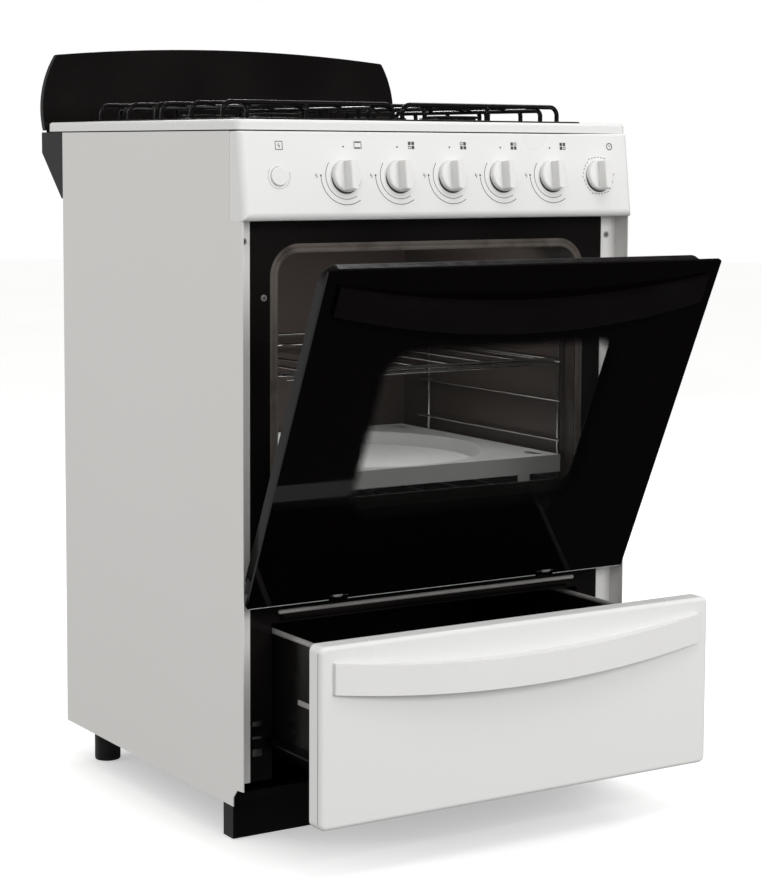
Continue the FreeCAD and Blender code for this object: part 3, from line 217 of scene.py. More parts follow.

# %% [markdown]
# ## White enamel
#
# The cabinet, hob and drawer front are pressed steel with baked white enamel. Real
# enamel is glassy but never quite flat: it has a very fine orange peel, and a faint
# drift in tone over a large sheet. Both are noise, one at a fine and one at a broad
# scale. The control panel is smoother than the sides, and the sides get a darker copy
# of its enamel, which is painted shade for the sides that face away from the light.

# %% White finishes
def white_enamel(name, colour, peel):
    finish = Finish(name, colour, 0.27, Coat_Weight=0.12, Coat_Roughness=0.2)
    broad = finish.noise(2.4, 1.0)
    shade = [c * 0.99 for c in colour]
    finish.tint(finish.between(broad, 0.1, 0.9), (shade[0], shade[1] * 0.998, shade[2] * 0.99))
    grain = finish.between(finish.noise(240.0, 2.0), 0.4, 0.75)
    finish.tint(finish.math("MULTIPLY", grain, 0.25), [c * 0.985 for c in colour])
    finish.dull(finish.noise(5.0, 1.0), 0.27, 0.31)
    return finish.relief(finish.noise(150.0, 1.0), 0.00002, peel)


# A darker, warmer copy of the front's enamel: painted shade on the side panels.
sides_enamel_painted_shade = white_enamel("enamel darkened as painted shade for the sides", (0.80, 0.795, 0.78), 0.16)
front_enamel = white_enamel("front enamel", (0.86, 0.86, 0.853), 0.07)
dress(sides_enamel_painted_shade, "side_panel_left", "side_panel_right")
dress(front_enamel, "hob_top", "control_panel", "drawer_front")
print("white enamel on 5 nodes")

# %% [markdown]
# ## Moulded white plastic
#
# The knobs, the button and the drawer handle are moulded in a glossy white plastic.
# A little light travels under its skin, so it gets some subsurface scattering, and
# its tiny texture is finer and softer than the enamel's orange peel.

# %% White plastic
white_plastic = Finish("white plastic", (0.86, 0.86, 0.85), 0.28, Coat_Weight=0.25,
                       Subsurface_Weight=0.06, Subsurface_Scale=0.004)
white_plastic.tint(white_plastic.between(white_plastic.noise(9.0, 2.0), 0.35, 0.7),
                   (0.85, 0.848, 0.835))
white_plastic.dull(white_plastic.noise(12.0, 1.0), 0.30, 0.34)
white_plastic.relief(white_plastic.noise(260.0, 1.0), 0.00001, 0.10)
dress(white_plastic, "timer_knob", "ignition_button", "drawer_handle",
      *[f"{knob}_knob" for knob in KNOBS])
print("white plastic on", len(KNOBS) + 3, "nodes")

# %% [markdown]
# ## Black enamel and painted wire
#
# The frame round the oven mouth, the drawer box, the toe board and the cooktop are
# black enamel, glossy with tiny grey flecks. The pan supports get a thicker coat,
# which pools unevenly on the round wire, so their bump is coarser.

# %% Black finishes
def black_enamel(name, roughness, fleck, peel, peel_scale):
    finish = Finish(name, (0.006, 0.0052, 0.005), roughness, Specular_IOR_Level=0.28)
    finish.tint(finish.between(finish.noise(6.0, 3.0), 0.4, 0.75), (0.011, 0.0095, 0.009))
    flecks = finish.between(finish.cells(900.0), 0.10, 0.05)
    finish.tint(finish.math("MULTIPLY", flecks, fleck), (0.16, 0.15, 0.14))
    finish.dull(finish.noise(60.0, 4.0), roughness * 0.8, roughness * 1.35)
    return finish.relief(finish.noise(peel_scale, 2.0), 0.0003, peel)


frame_black = black_enamel("frame enamel", 0.17, 0.12, 0.10, 300.0)
drawer_black = black_enamel("drawer enamel", 0.20, 0.10, 0.14, 260.0)
splash_black = black_enamel("splash panel enamel", 0.13, 0.05, 0.05, 320.0)
hob_black = black_enamel("cooktop enamel", 0.15, 0.35, 0.16, 260.0)
wire_black = black_enamel("pan support enamel", 0.14, 0.10, 0.20, 420.0)
wire_black.shader.inputs["Specular IOR Level"].default_value = 0.6      # a thicker coat
cap_black = black_enamel("burner cap enamel", 0.34, 0.30, 0.22, 500.0)
dress(frame_black, "front_frame", "base_pan", "plinth", "door_frame", "drawer_rails")
dress(drawer_black, "drawer_box")
dress(splash_black, "backsplash", "rear_vent_cover")
dress(hob_black, "cooktop")
dress(wire_black, "pan_support_left", "pan_support_right")
dress(cap_black, *[f"burner_cap_{place}" for place in BURNERS])
print("black enamel, 6 kinds")

# %% [markdown]
# ## Oven enamel
#
# Oven liners are fired in a dark ground coat that is full of pale specks, which hide
# crumbs and stains. Cell noise gives round specks of two sizes. The loose floor plate
# is a paler grey of the same enamel. Its round dish is tinted paler still, a painted
# pool of the light that falls into the oven: the tint follows the distance from its middle.

# %% Oven finishes
def oven_enamel(name, colour, speck):
    finish = Finish(name, colour, 0.30)
    fine = finish.between(finish.cells(620.0), 0.22, 0.12)
    finish.tint(finish.math("MULTIPLY", fine, 0.35), speck)
    coarse = finish.between(finish.cells(210.0), 0.13, 0.07)
    finish.tint(finish.math("MULTIPLY", coarse, 0.4), speck)
    finish.dull(finish.noise(35.0, 2.0), 0.28, 0.36)
    return finish.relief(finish.noise(200.0, 1.0), 0.00004, 0.2)


liner_enamel = oven_enamel("oven liner enamel", (0.034, 0.027, 0.024), (0.10, 0.088, 0.08))
floor_enamel = oven_enamel("oven floor enamel", (0.40, 0.40, 0.39), (0.50, 0.50, 0.49))
plate_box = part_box("oven_floor_plate")
DISH_RADIUS = 0.170
DISH_EDGE = 0.006
flat_only = floor_enamel.place((1, 1, 0), shift=(0, -(plate_box[0].y + plate_box[1].y) / 2, 0))
from_middle = floor_enamel.node("ShaderNodeVectorMath", Vector=flat_only)
from_middle.operation = "LENGTH"
# Painted light: the dish's paler tint stands for light falling into the oven.
dish_painted_light = floor_enamel.between(from_middle.outputs["Value"], DISH_RADIUS, DISH_RADIUS - DISH_EDGE,
                              smooth=True)
floor_enamel.tint(dish_painted_light, (0.66, 0.66, 0.645))
dress(liner_enamel, "oven_cavity")
dress(floor_enamel, "oven_floor_plate")
print("oven floor", [round(v, 3) for v in plate_box[1] - plate_box[0]])

# %% [markdown]
# ## Bare metals
#
# Six metals remain: galvanised sheet with its frosty spangle, chromed wire, cast
# aluminium for the burners, brass for the gas parts, drawn steel, and bright plated
# screws. What tells them apart is colour, roughness and grain. The two zinc coats are
# dulled by oxide, so they are only part metal.

# %% Metal finishes
zinc = Finish("galvanised sheet", (0.58, 0.59, 0.60), 0.46, Metallic=0.55)
spangle = zinc.cells(150.0, output="Color")
zinc.tint(zinc.between(spangle, 0.1, 0.9), (0.64, 0.65, 0.66))
zinc.dull(spangle, 0.42, 0.50)
zinc.relief(zinc.noise(300.0, 1.0), 0.00003, 0.2)

chrome = Finish("chromed wire", (0.74, 0.73, 0.72), 0.12, Metallic=1.0)
chrome.tint(chrome.between(chrome.noise(40.0, 3.0), 0.5, 0.8), (0.55, 0.50, 0.44))
chrome.dull(chrome.noise(220.0), 0.06, 0.2)
chrome.relief(chrome.noise(1200.0), 0.00005, 0.2)

cast = Finish("cast aluminium", (0.52, 0.52, 0.53), 0.42, Metallic=1.0)
cast.tint(cast.between(cast.noise(70.0, 5.0), 0.4, 0.7), (0.36, 0.36, 0.37))
cast.dull(cast.noise(160.0), 0.34, 0.55)
cast.relief(cast.noise(1100.0, 4.0), 0.00015, 0.6)

brass = Finish("brass", (0.62, 0.43, 0.16), 0.3, Metallic=1.0)
brass.tint(brass.between(brass.noise(120.0, 4.0), 0.45, 0.75), (0.42, 0.27, 0.09))
brass.relief(brass.waves(900.0, "Y", 1.5), 0.00004, 0.4)

steel = Finish("drawn steel", (0.42, 0.42, 0.43), 0.36, Metallic=1.0)
steel.tint(steel.between(steel.noise(60.0, 5.0), 0.45, 0.8), (0.24, 0.22, 0.21))
steel.relief(steel.noise(600.0, 3.0), 0.0001, 0.4)

bright_zinc = Finish("bright plated screws", (0.72, 0.71, 0.68), 0.32, Metallic=0.75)
bright_zinc.tint(bright_zinc.between(bright_zinc.noise(400.0, 3.0), 0.5, 0.8),
                 (0.52, 0.50, 0.46))
bright_zinc.relief(bright_zinc.waves(700.0, "X", 1.0), 0.00003, 0.3)
dress(zinc, "back_panel", "hinge_brackets")
dress(bright_zinc, "cabinet_screws")
dress(chrome, "rack_supports", "oven_rack", "door_glass_clips")
dress(cast, *[f"burner_base_{place}" for place in BURNERS])
dress(brass, "gas_taps", *[f"{knob}_stem" for knob in KNOBS])
dress(steel, "flue_duct", "oven_burner", "gas_manifold", "door_hinge_pins")
print("metals on burners, taps, flue and wires")

# %% [markdown]
# ## Black plastic, ceramic and mineral wool
#
# Moulded black plastic has a fine leather grain. The igniters are glazed ceramic. The
# oven blanket is mineral wool, matted fibres that are best shown by noise stretched
# along the sheet, with a deep bump.

# %% Other finishes
black_plastic = Finish("black plastic", (0.012, 0.012, 0.012), 0.42)
black_plastic.tint(black_plastic.between(black_plastic.noise(30.0, 3.0), 0.4, 0.8),
                   (0.022, 0.021, 0.020))
black_plastic.relief(black_plastic.cells(900.0, "SMOOTH_F1"), 0.00012, 0.5)

handle_black = Finish("handle plastic", (0.0045, 0.0035, 0.0037), 0.2,
                      Specular_IOR_Level=0.22)
handle_black.tint(handle_black.between(handle_black.noise(20.0, 3.0), 0.4, 0.8),
                  (0.006, 0.005, 0.0052))
handle_black.dull(handle_black.noise(120.0), 0.15, 0.27)
handle_black.relief(handle_black.noise(900.0, 2.0), 0.00006, 0.3)

ceramic = Finish("glazed ceramic", (0.80, 0.77, 0.69), 0.18, Coat_Weight=0.6)
ceramic.tint(ceramic.between(ceramic.noise(350.0, 4.0), 0.55, 0.8), (0.55, 0.47, 0.36))
ceramic.relief(ceramic.noise(900.0), 0.00004, 0.3)

wool = Finish("mineral wool", (0.60, 0.52, 0.30), 0.95, Sheen_Weight=0.3)
fibres = wool.noise(180.0, 6.0, wool.place((1, 0.35, 1.6)))
wool.tint(wool.between(fibres, 0.4, 0.65), (0.42, 0.34, 0.17))
wool.relief(fibres, 0.002, 0.8)

dress(black_plastic, "rear_feet", "timer_housing", "ignition_switch", "spark_module")
dress(handle_black, "door_handle")
dress(ceramic, "burner_igniters")
dress(wool, "oven_insulation")
print("plastic, ceramic and wool done")

# %% [markdown]
# ## The door's glass
#
# The outer pane is printed black at the back, except over the window, where the print
# fades out in a soft border. One pane means one finish, so the window is a rounded
# rectangle worked out from Object coordinates in the plane of the door, and it drives
# Alpha. The Mapping node turns the leaning pane upright first.

# %% Glass finishes
door_joint = next(j for j in frame["joints"] if j["child"] == "oven_door")
HINGE = Vector(door_joint["pos_m"])
AJAR = math.radians(-door_joint["range_deg"][0])
WINDOW_MIDDLE_X = -0.005
WINDOW_MIDDLE_UP = 0.219         # above the hinge, along the pane
WINDOW_HALF = (0.174, 0.122)
WINDOW_CORNER = 0.050
WINDOW_FADE = 0.020
WINDOW_CLEAR = 0.16              # how much the tinted pane still covers


def window_mask(finish):
    """One inside the door's window, nought outside, with a soft border."""
    flat = finish.place(turn=(AJAR, 0, 0), shift=HINGE, kind="TEXTURE")
    parts = finish.node("ShaderNodeSeparateXYZ", Vector=flat)
    offsets = []
    for output, middle, half in (("X", WINDOW_MIDDLE_X, WINDOW_HALF[0]),
                                 ("Z", WINDOW_MIDDLE_UP, WINDOW_HALF[1])):
        away = finish.math("ABSOLUTE", finish.math("SUBTRACT", parts.outputs[output], middle))
        offsets.append(finish.math("MAXIMUM", finish.math("SUBTRACT", away,
                                                          half - WINDOW_CORNER), 0.0))
    squares = [finish.math("POWER", offset, 2.0) for offset in offsets]
    distance = finish.math("POWER", finish.math("ADD", *squares), 0.5)
    return finish.between(distance, WINDOW_CORNER, WINDOW_CORNER - WINDOW_FADE, smooth=True)


black_glass = Finish("printed door glass", (0.0022, 0.0014, 0.0016), 0.035,
                     Specular_IOR_Level=0.22)
black_glass.dull(black_glass.noise(9.0, 5.0), 0.02, 0.065)
mask = window_mask(black_glass)
black_glass.tint(mask, (0.006, 0.0062, 0.006))
cover = black_glass.between(mask, 0.0, 1.0, 1.0, WINDOW_CLEAR)
black_glass.tree.links.new(cover, black_glass.shader.inputs["Alpha"])
black_glass.relief(black_glass.noise(5.0, 1.0), 0.0004, 0.05)

clear_glass = Finish("inner door glass", (0.05, 0.055, 0.05), 0.04, Alpha=0.07,
                     Specular_IOR_Level=0.3)
clear_glass.dull(clear_glass.noise(14.0, 5.0), 0.02, 0.12)
clear_glass.tint(clear_glass.between(clear_glass.noise(30.0, 4.0), 0.55, 0.8),
                 (0.09, 0.09, 0.085))
dress(black_glass, "door_glass")
dress(clear_glass, "door_inner_glass")
print("door stands", round(math.degrees(AJAR), 2), "degrees open")

# %% [markdown]
# ## Meshes that become pieces
#
# Each new piece is modelled as a bmesh and then handed over here: doubles are merged,
# the normals are turned outwards, soft and hard edges are told apart by their angle,
# and the piece is tied to the body that it moves with.

# %% Piece helper
def make_piece(name, bm, finish, body, hard_angle=35.0):
    """Turns a bmesh into an object that rides on a body."""
    bmesh.ops.remove_doubles(bm, verts=bm.verts, dist=1e-6)
    bmesh.ops.recalc_face_normals(bm, faces=bm.faces)
    mesh = bpy.data.meshes.new(name)
    bm.to_mesh(mesh)
    bm.free()
    mesh.shade_smooth()
    mesh.set_sharp_from_angle(angle=math.radians(hard_angle))
    piece = bpy.data.objects.new(name, mesh)
    bpy.context.scene.collection.objects.link(piece)
    mesh.materials.append(finish.material)
    print(name, len(mesh.polygons), "faces")
    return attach(piece, body)


# %% [markdown]
# ## The oven seal
#
# A woven heat-proof tube is clipped round the oven mouth. Pressed flat by the door, it
# shows two soft ridges with a groove between them. It starts as one flat rounded
# rectangle. Insets step inwards across its width, and their depth makes the ridges.

# %% Oven seal
SEAL_STEPS = ((0.0009, 0.0007), (0.0012, 0.0006), (0.0017, 0.0), (0.0010, -0.0006),
              (0.0009, -0.0003), (0.0009, 0.0003), (0.0010, 0.0006), (0.0015, 0.0),
              (0.0009, -0.0006))     # each inset's width and rise
SEAL_LAST_STEP = (0.0005, -0.0007)
SEAL_HALF_AND_CORNER = 0.2660        # the seal's half width and corner radius together
SEAL_LIFT = 0.0001                   # first face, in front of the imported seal's back


def rounded_plate(bm, low, high, y, corner, segments=10):
    """A flat face in a plane of constant Y, with rounded corners."""
    size = high - low
    middle = (high + low) / 2
    turned = Matrix.Rotation(math.radians(90), 4, "X")
    scaled = Matrix.Diagonal((size.x, 1, size.z, 1))
    matrix = Matrix.Translation((middle.x, y, middle.z)) @ scaled @ turned
    made = bmesh.ops.create_grid(bm, x_segments=1, y_segments=1, size=0.5, matrix=matrix)
    bmesh.ops.bevel(bm, geom=made["verts"], offset=corner, offset_type="OFFSET",
                    affect="VERTICES", segments=segments, profile=0.5, material=-1)
    return bm.faces[:]


seal_low, seal_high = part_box("oven_seal")
seal_fibre = Finish("seal fibre", (0.17, 0.148, 0.130), 0.36, Metallic=0.35)
twill = seal_fibre.math("MULTIPLY", seal_fibre.waves(520.0, "DIAGONAL", 1.2),
                        seal_fibre.waves(430.0, "Z", 0.8))
seal_fibre.tint(seal_fibre.between(twill, 0.25, 0.7), (0.26, 0.235, 0.21))
seal_fibre.tint(seal_fibre.between(seal_fibre.noise(28.0, 4.0), 0.5, 0.75),
                (0.09, 0.073, 0.062))
seal_fibre.relief(twill, 0.0002, 0.5)

bm = bmesh.new()
bmesh.ops.recalc_face_normals(bm, faces=rounded_plate(
    bm, seal_low, seal_high, seal_high.y - SEAL_LIFT, seal_low.x + SEAL_HALF_AND_CORNER))
bm.faces.ensure_lookup_table()
if bm.faces[0].normal.y > 0:
    bmesh.ops.reverse_faces(bm, faces=bm.faces)
centre = bm.faces[0]
for width, rise in (*SEAL_STEPS, SEAL_LAST_STEP):
    bmesh.ops.inset_region(bm, faces=[centre], thickness=width, depth=rise,
                           use_even_offset=True, use_boundary=True)
bmesh.ops.delete(bm, geom=[centre], context="FACES")
bmesh.ops.bridge_loops(bm, edges=[e for e in bm.edges if e.is_boundary])
seal = make_piece("seal_tube", bm, seal_fibre, "cabinet", 60.0)
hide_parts("oven_seal")

# %% [markdown]
# ## The lower wire shelf
#
# A second, shallower wire shelf rests on the lowest rungs, under the lip of the dished
# oven floor. Each wire is a thin cylinder laid between two points. The front is a pair
# of wires, one above the other, and the short uprights between them are the turned-down
# ends of the long wires.

# %% Lower wire shelf
def rod(bm, start, end, radius, sides=12):
    """A capped straight wire between two points."""
    start, end = Vector(start), Vector(end)
    along = end - start
    matrix = (Matrix.Translation((start + end) / 2)
              @ along.to_track_quat("Z", "Y").to_matrix().to_4x4())
    bmesh.ops.create_cone(bm, cap_ends=True, segments=sides, radius1=radius,
                          radius2=radius, depth=along.length, matrix=matrix)


def ball(bm, centre, radius):
    """A small sphere that rounds the joint between two wires."""
    bmesh.ops.create_uvsphere(bm, u_segments=12, v_segments=8, radius=radius,
                              matrix=Matrix.Translation(centre))


plate_low, plate_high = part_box("oven_floor_plate")
SHELF_TOP = plate_low.z + 0.0727         # just under the lip of the oven floor
SHELF_DROP = 0.0065
SHELF_WIRE = 0.0014
SHELF_HALF = plate_high.x - 0.004
SHELF_PITCH = 0.0532
SHELF_LONG_WIRE = SHELF_WIRE * 0.8
SHELF_WELD = SHELF_WIRE * 1.25
shelf_front = plate_low.y - 0.0022
shelf_rear = plate_low.y + 0.300
bm = bmesh.new()
corners = [Vector((x, y, SHELF_TOP))
           for x, y in ((-SHELF_HALF, shelf_front), (SHELF_HALF, shelf_front),
                        (SHELF_HALF, shelf_rear), (-SHELF_HALF, shelf_rear))]
for first, second in zip(corners, corners[1:] + corners[:1]):
    rod(bm, first, second, SHELF_WIRE)
    ball(bm, first, SHELF_WIRE)
down = Vector((0, 0, -SHELF_DROP))
rod(bm, corners[0] + down, corners[1] + down, SHELF_WIRE)
wire_x = -3 * SHELF_PITCH
while wire_x < SHELF_HALF:
    top = Vector((wire_x, shelf_front, SHELF_TOP))
    rod(bm, top, (wire_x, shelf_rear, SHELF_TOP), SHELF_LONG_WIRE)
    rod(bm, top, top + down, SHELF_LONG_WIRE)
    ball(bm, top, SHELF_WELD)
    wire_x += SHELF_PITCH
make_piece("lower_shelf", bm, chrome, "cabinet", 40.0)

# %% [markdown]
# ## Beads pressed into the cooktop
#
# The black cooktop is stiffened by a round bead about each burner, which also keeps a
# spill away from the flame. A small circle spun about the burner's axis gives the bead,
# and half of it lies below the sheet.

# %% Cooktop beads
BEAD_RADIUS = 0.0022
BEAD_SINK = 0.0004               # sheet's top to the middle of the bead
BEAD_CLEAR = 0.017               # burner base's edge to the middle of the bead
bm = bmesh.new()
for place in BURNERS:
    base_low, base_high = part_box(f"burner_base_{place}")
    axis = Vector(((base_low.x + base_high.x) / 2, (base_low.y + base_high.y) / 2,
                   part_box("cooktop")[1].z - BEAD_SINK))
    reach = (base_high.x - base_low.x) / 2 + BEAD_CLEAR
    made = bmesh.ops.create_circle(
        bm, segments=12, radius=BEAD_RADIUS,
        matrix=Matrix.Translation(axis + Vector((reach, 0, 0)))
        @ Matrix.Rotation(math.radians(90), 4, "X"))
    rim = dict.fromkeys(edge for vert in made["verts"] for edge in vert.link_edges)
    bmesh.ops.spin(bm, geom=made["verts"] + list(rim), cent=axis, axis=(0, 0, 1),
                   angle=math.tau, steps=64, use_merge=True, use_duplicate=False)
make_piece("cooktop_beads", bm, hob_black, "cabinet", 60.0)

# %% [markdown]
# ## Painted shade in the screw heads
#
# The columns beside the door and the frame are held by cross-head screws. The packed
# model has plain heads, all in one mesh. That mesh stays as it is, so nothing is cut,
# and each recess is painted shade: a cross of two thin dark bars, laid on the head's
# face. The heads are found as the mesh's separate islands, and anything larger is
# passed over.

# %% Recess marks
HEAD_LIMIT = 0.02                # an island wider than this isn't a screw head
CROSS_TURN = 0.5
CROSS_LONG = 0.55                # shares of the head's width
CROSS_THIN = 0.11
CROSS_RISE = 0.0003
# Dark colour of the crosses: painted shade inside the cross recesses.
cross_shade = Finish("painted shade in driver crosses", (0.02, 0.019, 0.018), 0.5)
cross_shade.tint(cross_shade.between(cross_shade.noise(900.0, 2.0), 0.4, 0.7), (0.05, 0.047, 0.044))
islands = bmesh.new()
islands.from_mesh(nodes["cabinet_screws"].data)
bmesh.ops.remove_doubles(islands, verts=islands.verts, dist=1e-6)
waiting = set(islands.verts)
bm = bmesh.new()
for seed in islands.verts:
    if seed not in waiting:
        continue
    waiting.remove(seed)
    stack = [seed]
    group = [seed]
    while stack:
        for edge in stack.pop().link_edges:
            for vert in edge.verts:
                if vert in waiting:
                    waiting.remove(vert)
                    stack.append(vert)
                    group.append(vert)
    xs, ys, zs = ([vert.co[axis] for vert in group] for axis in range(3))
    middle = Vector(((min(xs) + max(xs)) / 2, min(ys), (min(zs) + max(zs)) / 2))
    size = max(zs) - min(zs)
    if size > HEAD_LIMIT or max(xs) - min(xs) > HEAD_LIMIT:
        continue
    for turn in (CROSS_TURN, CROSS_TURN + math.pi / 2):
        matrix = (Matrix.Translation(middle) @ Matrix.Rotation(turn, 4, "Y")
                  @ Matrix.Diagonal((size * CROSS_LONG, CROSS_RISE, size * CROSS_THIN, 1)))
        bmesh.ops.create_cube(bm, size=1.0, matrix=matrix)
islands.free()
make_piece("screw_head_shade_marks", bm, cross_shade, "cabinet", 30.0)

# %% [markdown]
# ## Lips, rims and clips
#
# Small bright edges tell the eye how the sheet is folded. The frame's cross rail has a
# rolled lip, and the drawer box has rolled side rims. Each is a rod with ball ends laid
# along the fold, because a bevel on the imported sheet would be too thin to catch light,
# and its pale grey is a painted highlight on the black sheet. Three finishes come first:
# pale grey for painted highlights, the pane's edge with a painted highlight, and a dark
# one for painted shadows and a seam line; then two tools.

# %% Edge finishes
# Pale grey: a painted highlight on black folds and strips.
highlight_grey = Finish("pale grey painted highlight", (0.52, 0.51, 0.49), 0.34, Metallic=0.2)
highlight_grey.tint(highlight_grey.between(highlight_grey.noise(24.0, 4.0), 0.3, 0.8), (0.36, 0.35, 0.335))
highlight_grey.dull(highlight_grey.noise(90.0, 2.0), 0.28, 0.42)
highlight_grey.relief(highlight_grey.noise(420.0, 2.0), 0.00004, 0.25)
# The pane's edge, pale grey as a painted highlight.
pane_edge_highlight = Finish("pane edge painted highlight", (0.42, 0.44, 0.43), 0.25)
pane_edge_highlight.tint(pane_edge_highlight.between(pane_edge_highlight.noise(200.0, 3.0), 0.4, 0.8), (0.22, 0.24, 0.23))
pane_edge_highlight.relief(pane_edge_highlight.noise(900.0, 2.0), 0.00003, 0.3)
# Dark: painted shadow round the knobs, and the drawer front's seam line.
shadow_and_seam_dark = Finish("painted knob shadow and seam line", (0.035, 0.034, 0.033), 0.7)
shadow_and_seam_dark.tint(shadow_and_seam_dark.between(shadow_and_seam_dark.noise(700.0, 3.0), 0.4, 0.7), (0.06, 0.058, 0.056))
shadow_and_seam_dark.relief(shadow_and_seam_dark.noise(1200.0, 2.0), 0.00003, 0.3)
print("edge finishes", highlight_grey.material.name, pane_edge_highlight.material.name, shadow_and_seam_dark.material.name)


# %% Tabs and rounded rods
def tab(bm, centre, size, bevel, turn=None):
    """A small block with rounded edges."""
    matrix = Matrix.Translation(centre) @ (turn or Matrix()) @ Matrix.Diagonal((*size, 1))
    made = bmesh.ops.create_cube(bm, size=1.0, matrix=matrix)
    edges = dict.fromkeys(edge for vert in made["verts"] for edge in vert.link_edges)
    bmesh.ops.bevel(bm, geom=list(edges), offset=bevel, offset_type="OFFSET",
                    affect="EDGES", segments=3, profile=0.5, material=-1)


def rounded_rod(bm, start, end, radius):
    """A straight rod with ball ends."""
    rod(bm, start, end, radius)
    ball(bm, start, radius)
    ball(bm, end, radius)


# %% [markdown]
# The rail's lip and the box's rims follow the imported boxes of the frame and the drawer.
# Each side of the drawer box also has a raised guide strip, a long thin tab just behind
# the drawer's front, and the front itself shows the line of its folded edge.

# %% Lip, rims and seam
drawer_low, drawer_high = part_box("drawer_front")
box_low, box_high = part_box("drawer_box")
frame_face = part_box("front_frame")[0].y
RAIL_HALF = 0.2150
RAIL_LIP = 0.0026
RAIL_LIP_BACK = 0.0022           # frame's face to the middle of the lip
RIM = 0.0032
RIM_SINK = 0.0030                # box's top to the middle of the rim
RIM_END = 0.0040
BOX_WALL = 0.2204                # drawer's middle to the middle of its side sheet
STRIP = (0.0022, 0.1116, 0.0064)
STRIP_OUT = 0.0024               # side sheet to the middle of the strip
STRIP_BACK = 0.0590              # drawer front's rear to the strip's middle
STRIP_RISE = 0.0870              # box's underside to the strip's middle
SEAM = 0.00035
SEAM_BACK = 0.0062
SEAM_SINK = 0.00005
SEAM_END = 0.007

bm = bmesh.new()
rounded_rod(bm, Vector((-RAIL_HALF, frame_face + RAIL_LIP_BACK, drawer_high.z - 0.0016)),
            Vector((RAIL_HALF, frame_face + RAIL_LIP_BACK, drawer_high.z - 0.0018)), RAIL_LIP)
# The lip's pale grey is a painted highlight on the black rail.
make_piece("cross_rail_lip", bm, highlight_grey, "cabinet", 50.0)

bm = bmesh.new()
for side in (-1, 1):
    x = side * BOX_WALL
    rounded_rod(bm, Vector((x, drawer_high.y + RIM_END, box_high.z - RIM_SINK)),
                Vector((x, box_high.y - RIM_END, box_high.z - RIM_SINK)), RIM)
    tab(bm, Vector((side * (BOX_WALL + STRIP_OUT), drawer_high.y + STRIP_BACK,
                    box_low.z + STRIP_RISE)), STRIP, 0.0008)
# Rims and guide strips are pale grey: painted highlights on the black drawer box.
make_piece("drawer_rims", bm, highlight_grey, "drawer", 50.0)

bm = bmesh.new()
seam_y = drawer_low.y + SEAM_BACK
for side in (-1, 1):
    x = side * (drawer_high.x - SEAM_SINK)
    rod(bm, (x, seam_y, drawer_low.z + SEAM_END), (x, seam_y, drawer_high.z - SEAM_END), SEAM, 8)
make_piece("drawer_seam", bm, shadow_and_seam_dark, "drawer", 50.0)

# %% [markdown]
# Three bent tabs on each side of the frame hold the drawer's rails. On the door, the
# pane's lower edge is ground and polished; a thin pale rod along it gives that edge,
# and its pale grey is a painted highlight. A bent tab with a raised fold holds the glass
# near each end.

# %% Tabs on the frame and the glass
BRACKET_X = 0.2465
BRACKET_TABS = ((0.1392, 0.0060), (0.1225, 0.0030), (0.1045, 0.0090))   # height, tallness
bm = bmesh.new()
for z, tall in BRACKET_TABS:
    for side in (-1, 1):
        tab(bm, Vector((side * BRACKET_X, frame_face + 0.0016, z)), (0.0120, 0.0028, tall),
            0.0007)
make_piece("rail_bracket_tabs", bm, steel, "cabinet", 40.0)

GLASS_OUT = 0.0117               # hinge axis to the pane's outer face
GLASS_FOOT = 0.0055              # hinge axis down to the pane's lower edge
GLASS_EDGE = 0.0007
CLIP_X = 0.1528
CLIP = (0.0140, 0.0012, 0.0072)
CLIP_FOLD = (0.0100, 0.0012, 0.0022)
door_up = Vector((0, -math.sin(AJAR), math.cos(AJAR)))
door_in = Vector((0, math.cos(AJAR), math.sin(AJAR)))
door_turn = Matrix.Rotation(AJAR, 4, "X")
glass_foot = HINGE - door_up * GLASS_FOOT - door_in * GLASS_OUT
pane_half = Vector((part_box("door_glass")[1].x - 0.003, 0, 0))
edge_middle = glass_foot + door_in * 0.0004 - door_up * 0.0003
bm = bmesh.new()
rounded_rod(bm, edge_middle - pane_half, edge_middle + pane_half, GLASS_EDGE)
make_piece("glass_edge", bm, pane_edge_highlight, "oven_door", 50.0)

bm = bmesh.new()
for side in (-1, 1):
    centre = glass_foot + Vector((side * CLIP_X, 0, 0)) + door_up * 0.0030 - door_in * 0.0006
    tab(bm, centre, CLIP, 0.0005, door_turn)
    tab(bm, centre - door_in * 0.0008 + door_up * 0.0018, CLIP_FOLD, 0.0005, door_turn)
make_piece("glass_clip_tabs", bm, bright_zinc, "oven_door", 40.0)

# %% [markdown]
# ## Painted shadows behind the knobs
#
# A thin dark disc lies on the panel behind each knob: a painted shadow. It sits a little
# low on the knob's axis, so it shows as a dark crescent under the knob and a fine dark
# line at its side. A very flat cone, a shade wider at the panel, makes it, laid square
# to the leaning face.

# %% Knob shadow discs
KNOB_SHADOW_FOOT = 0.0192
KNOB_SHADOW_TOP = 0.0188
KNOB_SHADOW_THICK = 0.0017
KNOB_SHADOW_DROP = 0.0015             # how far it hangs below the knob's axis
KNOB_SHADOW_LIFT = 0.0009
turn_joints = {j["child"]: j for j in frame["joints"] if j["type"] == "hinge"}
panel_out = Vector(turn_joints["oven_knob"]["axis"]).normalized()
panel_up = panel_out.cross(Vector((1, 0, 0)))
panel_axes = Matrix((Vector((1, 0, 0)), panel_up, panel_out)).transposed().to_4x4()
bm = bmesh.new()
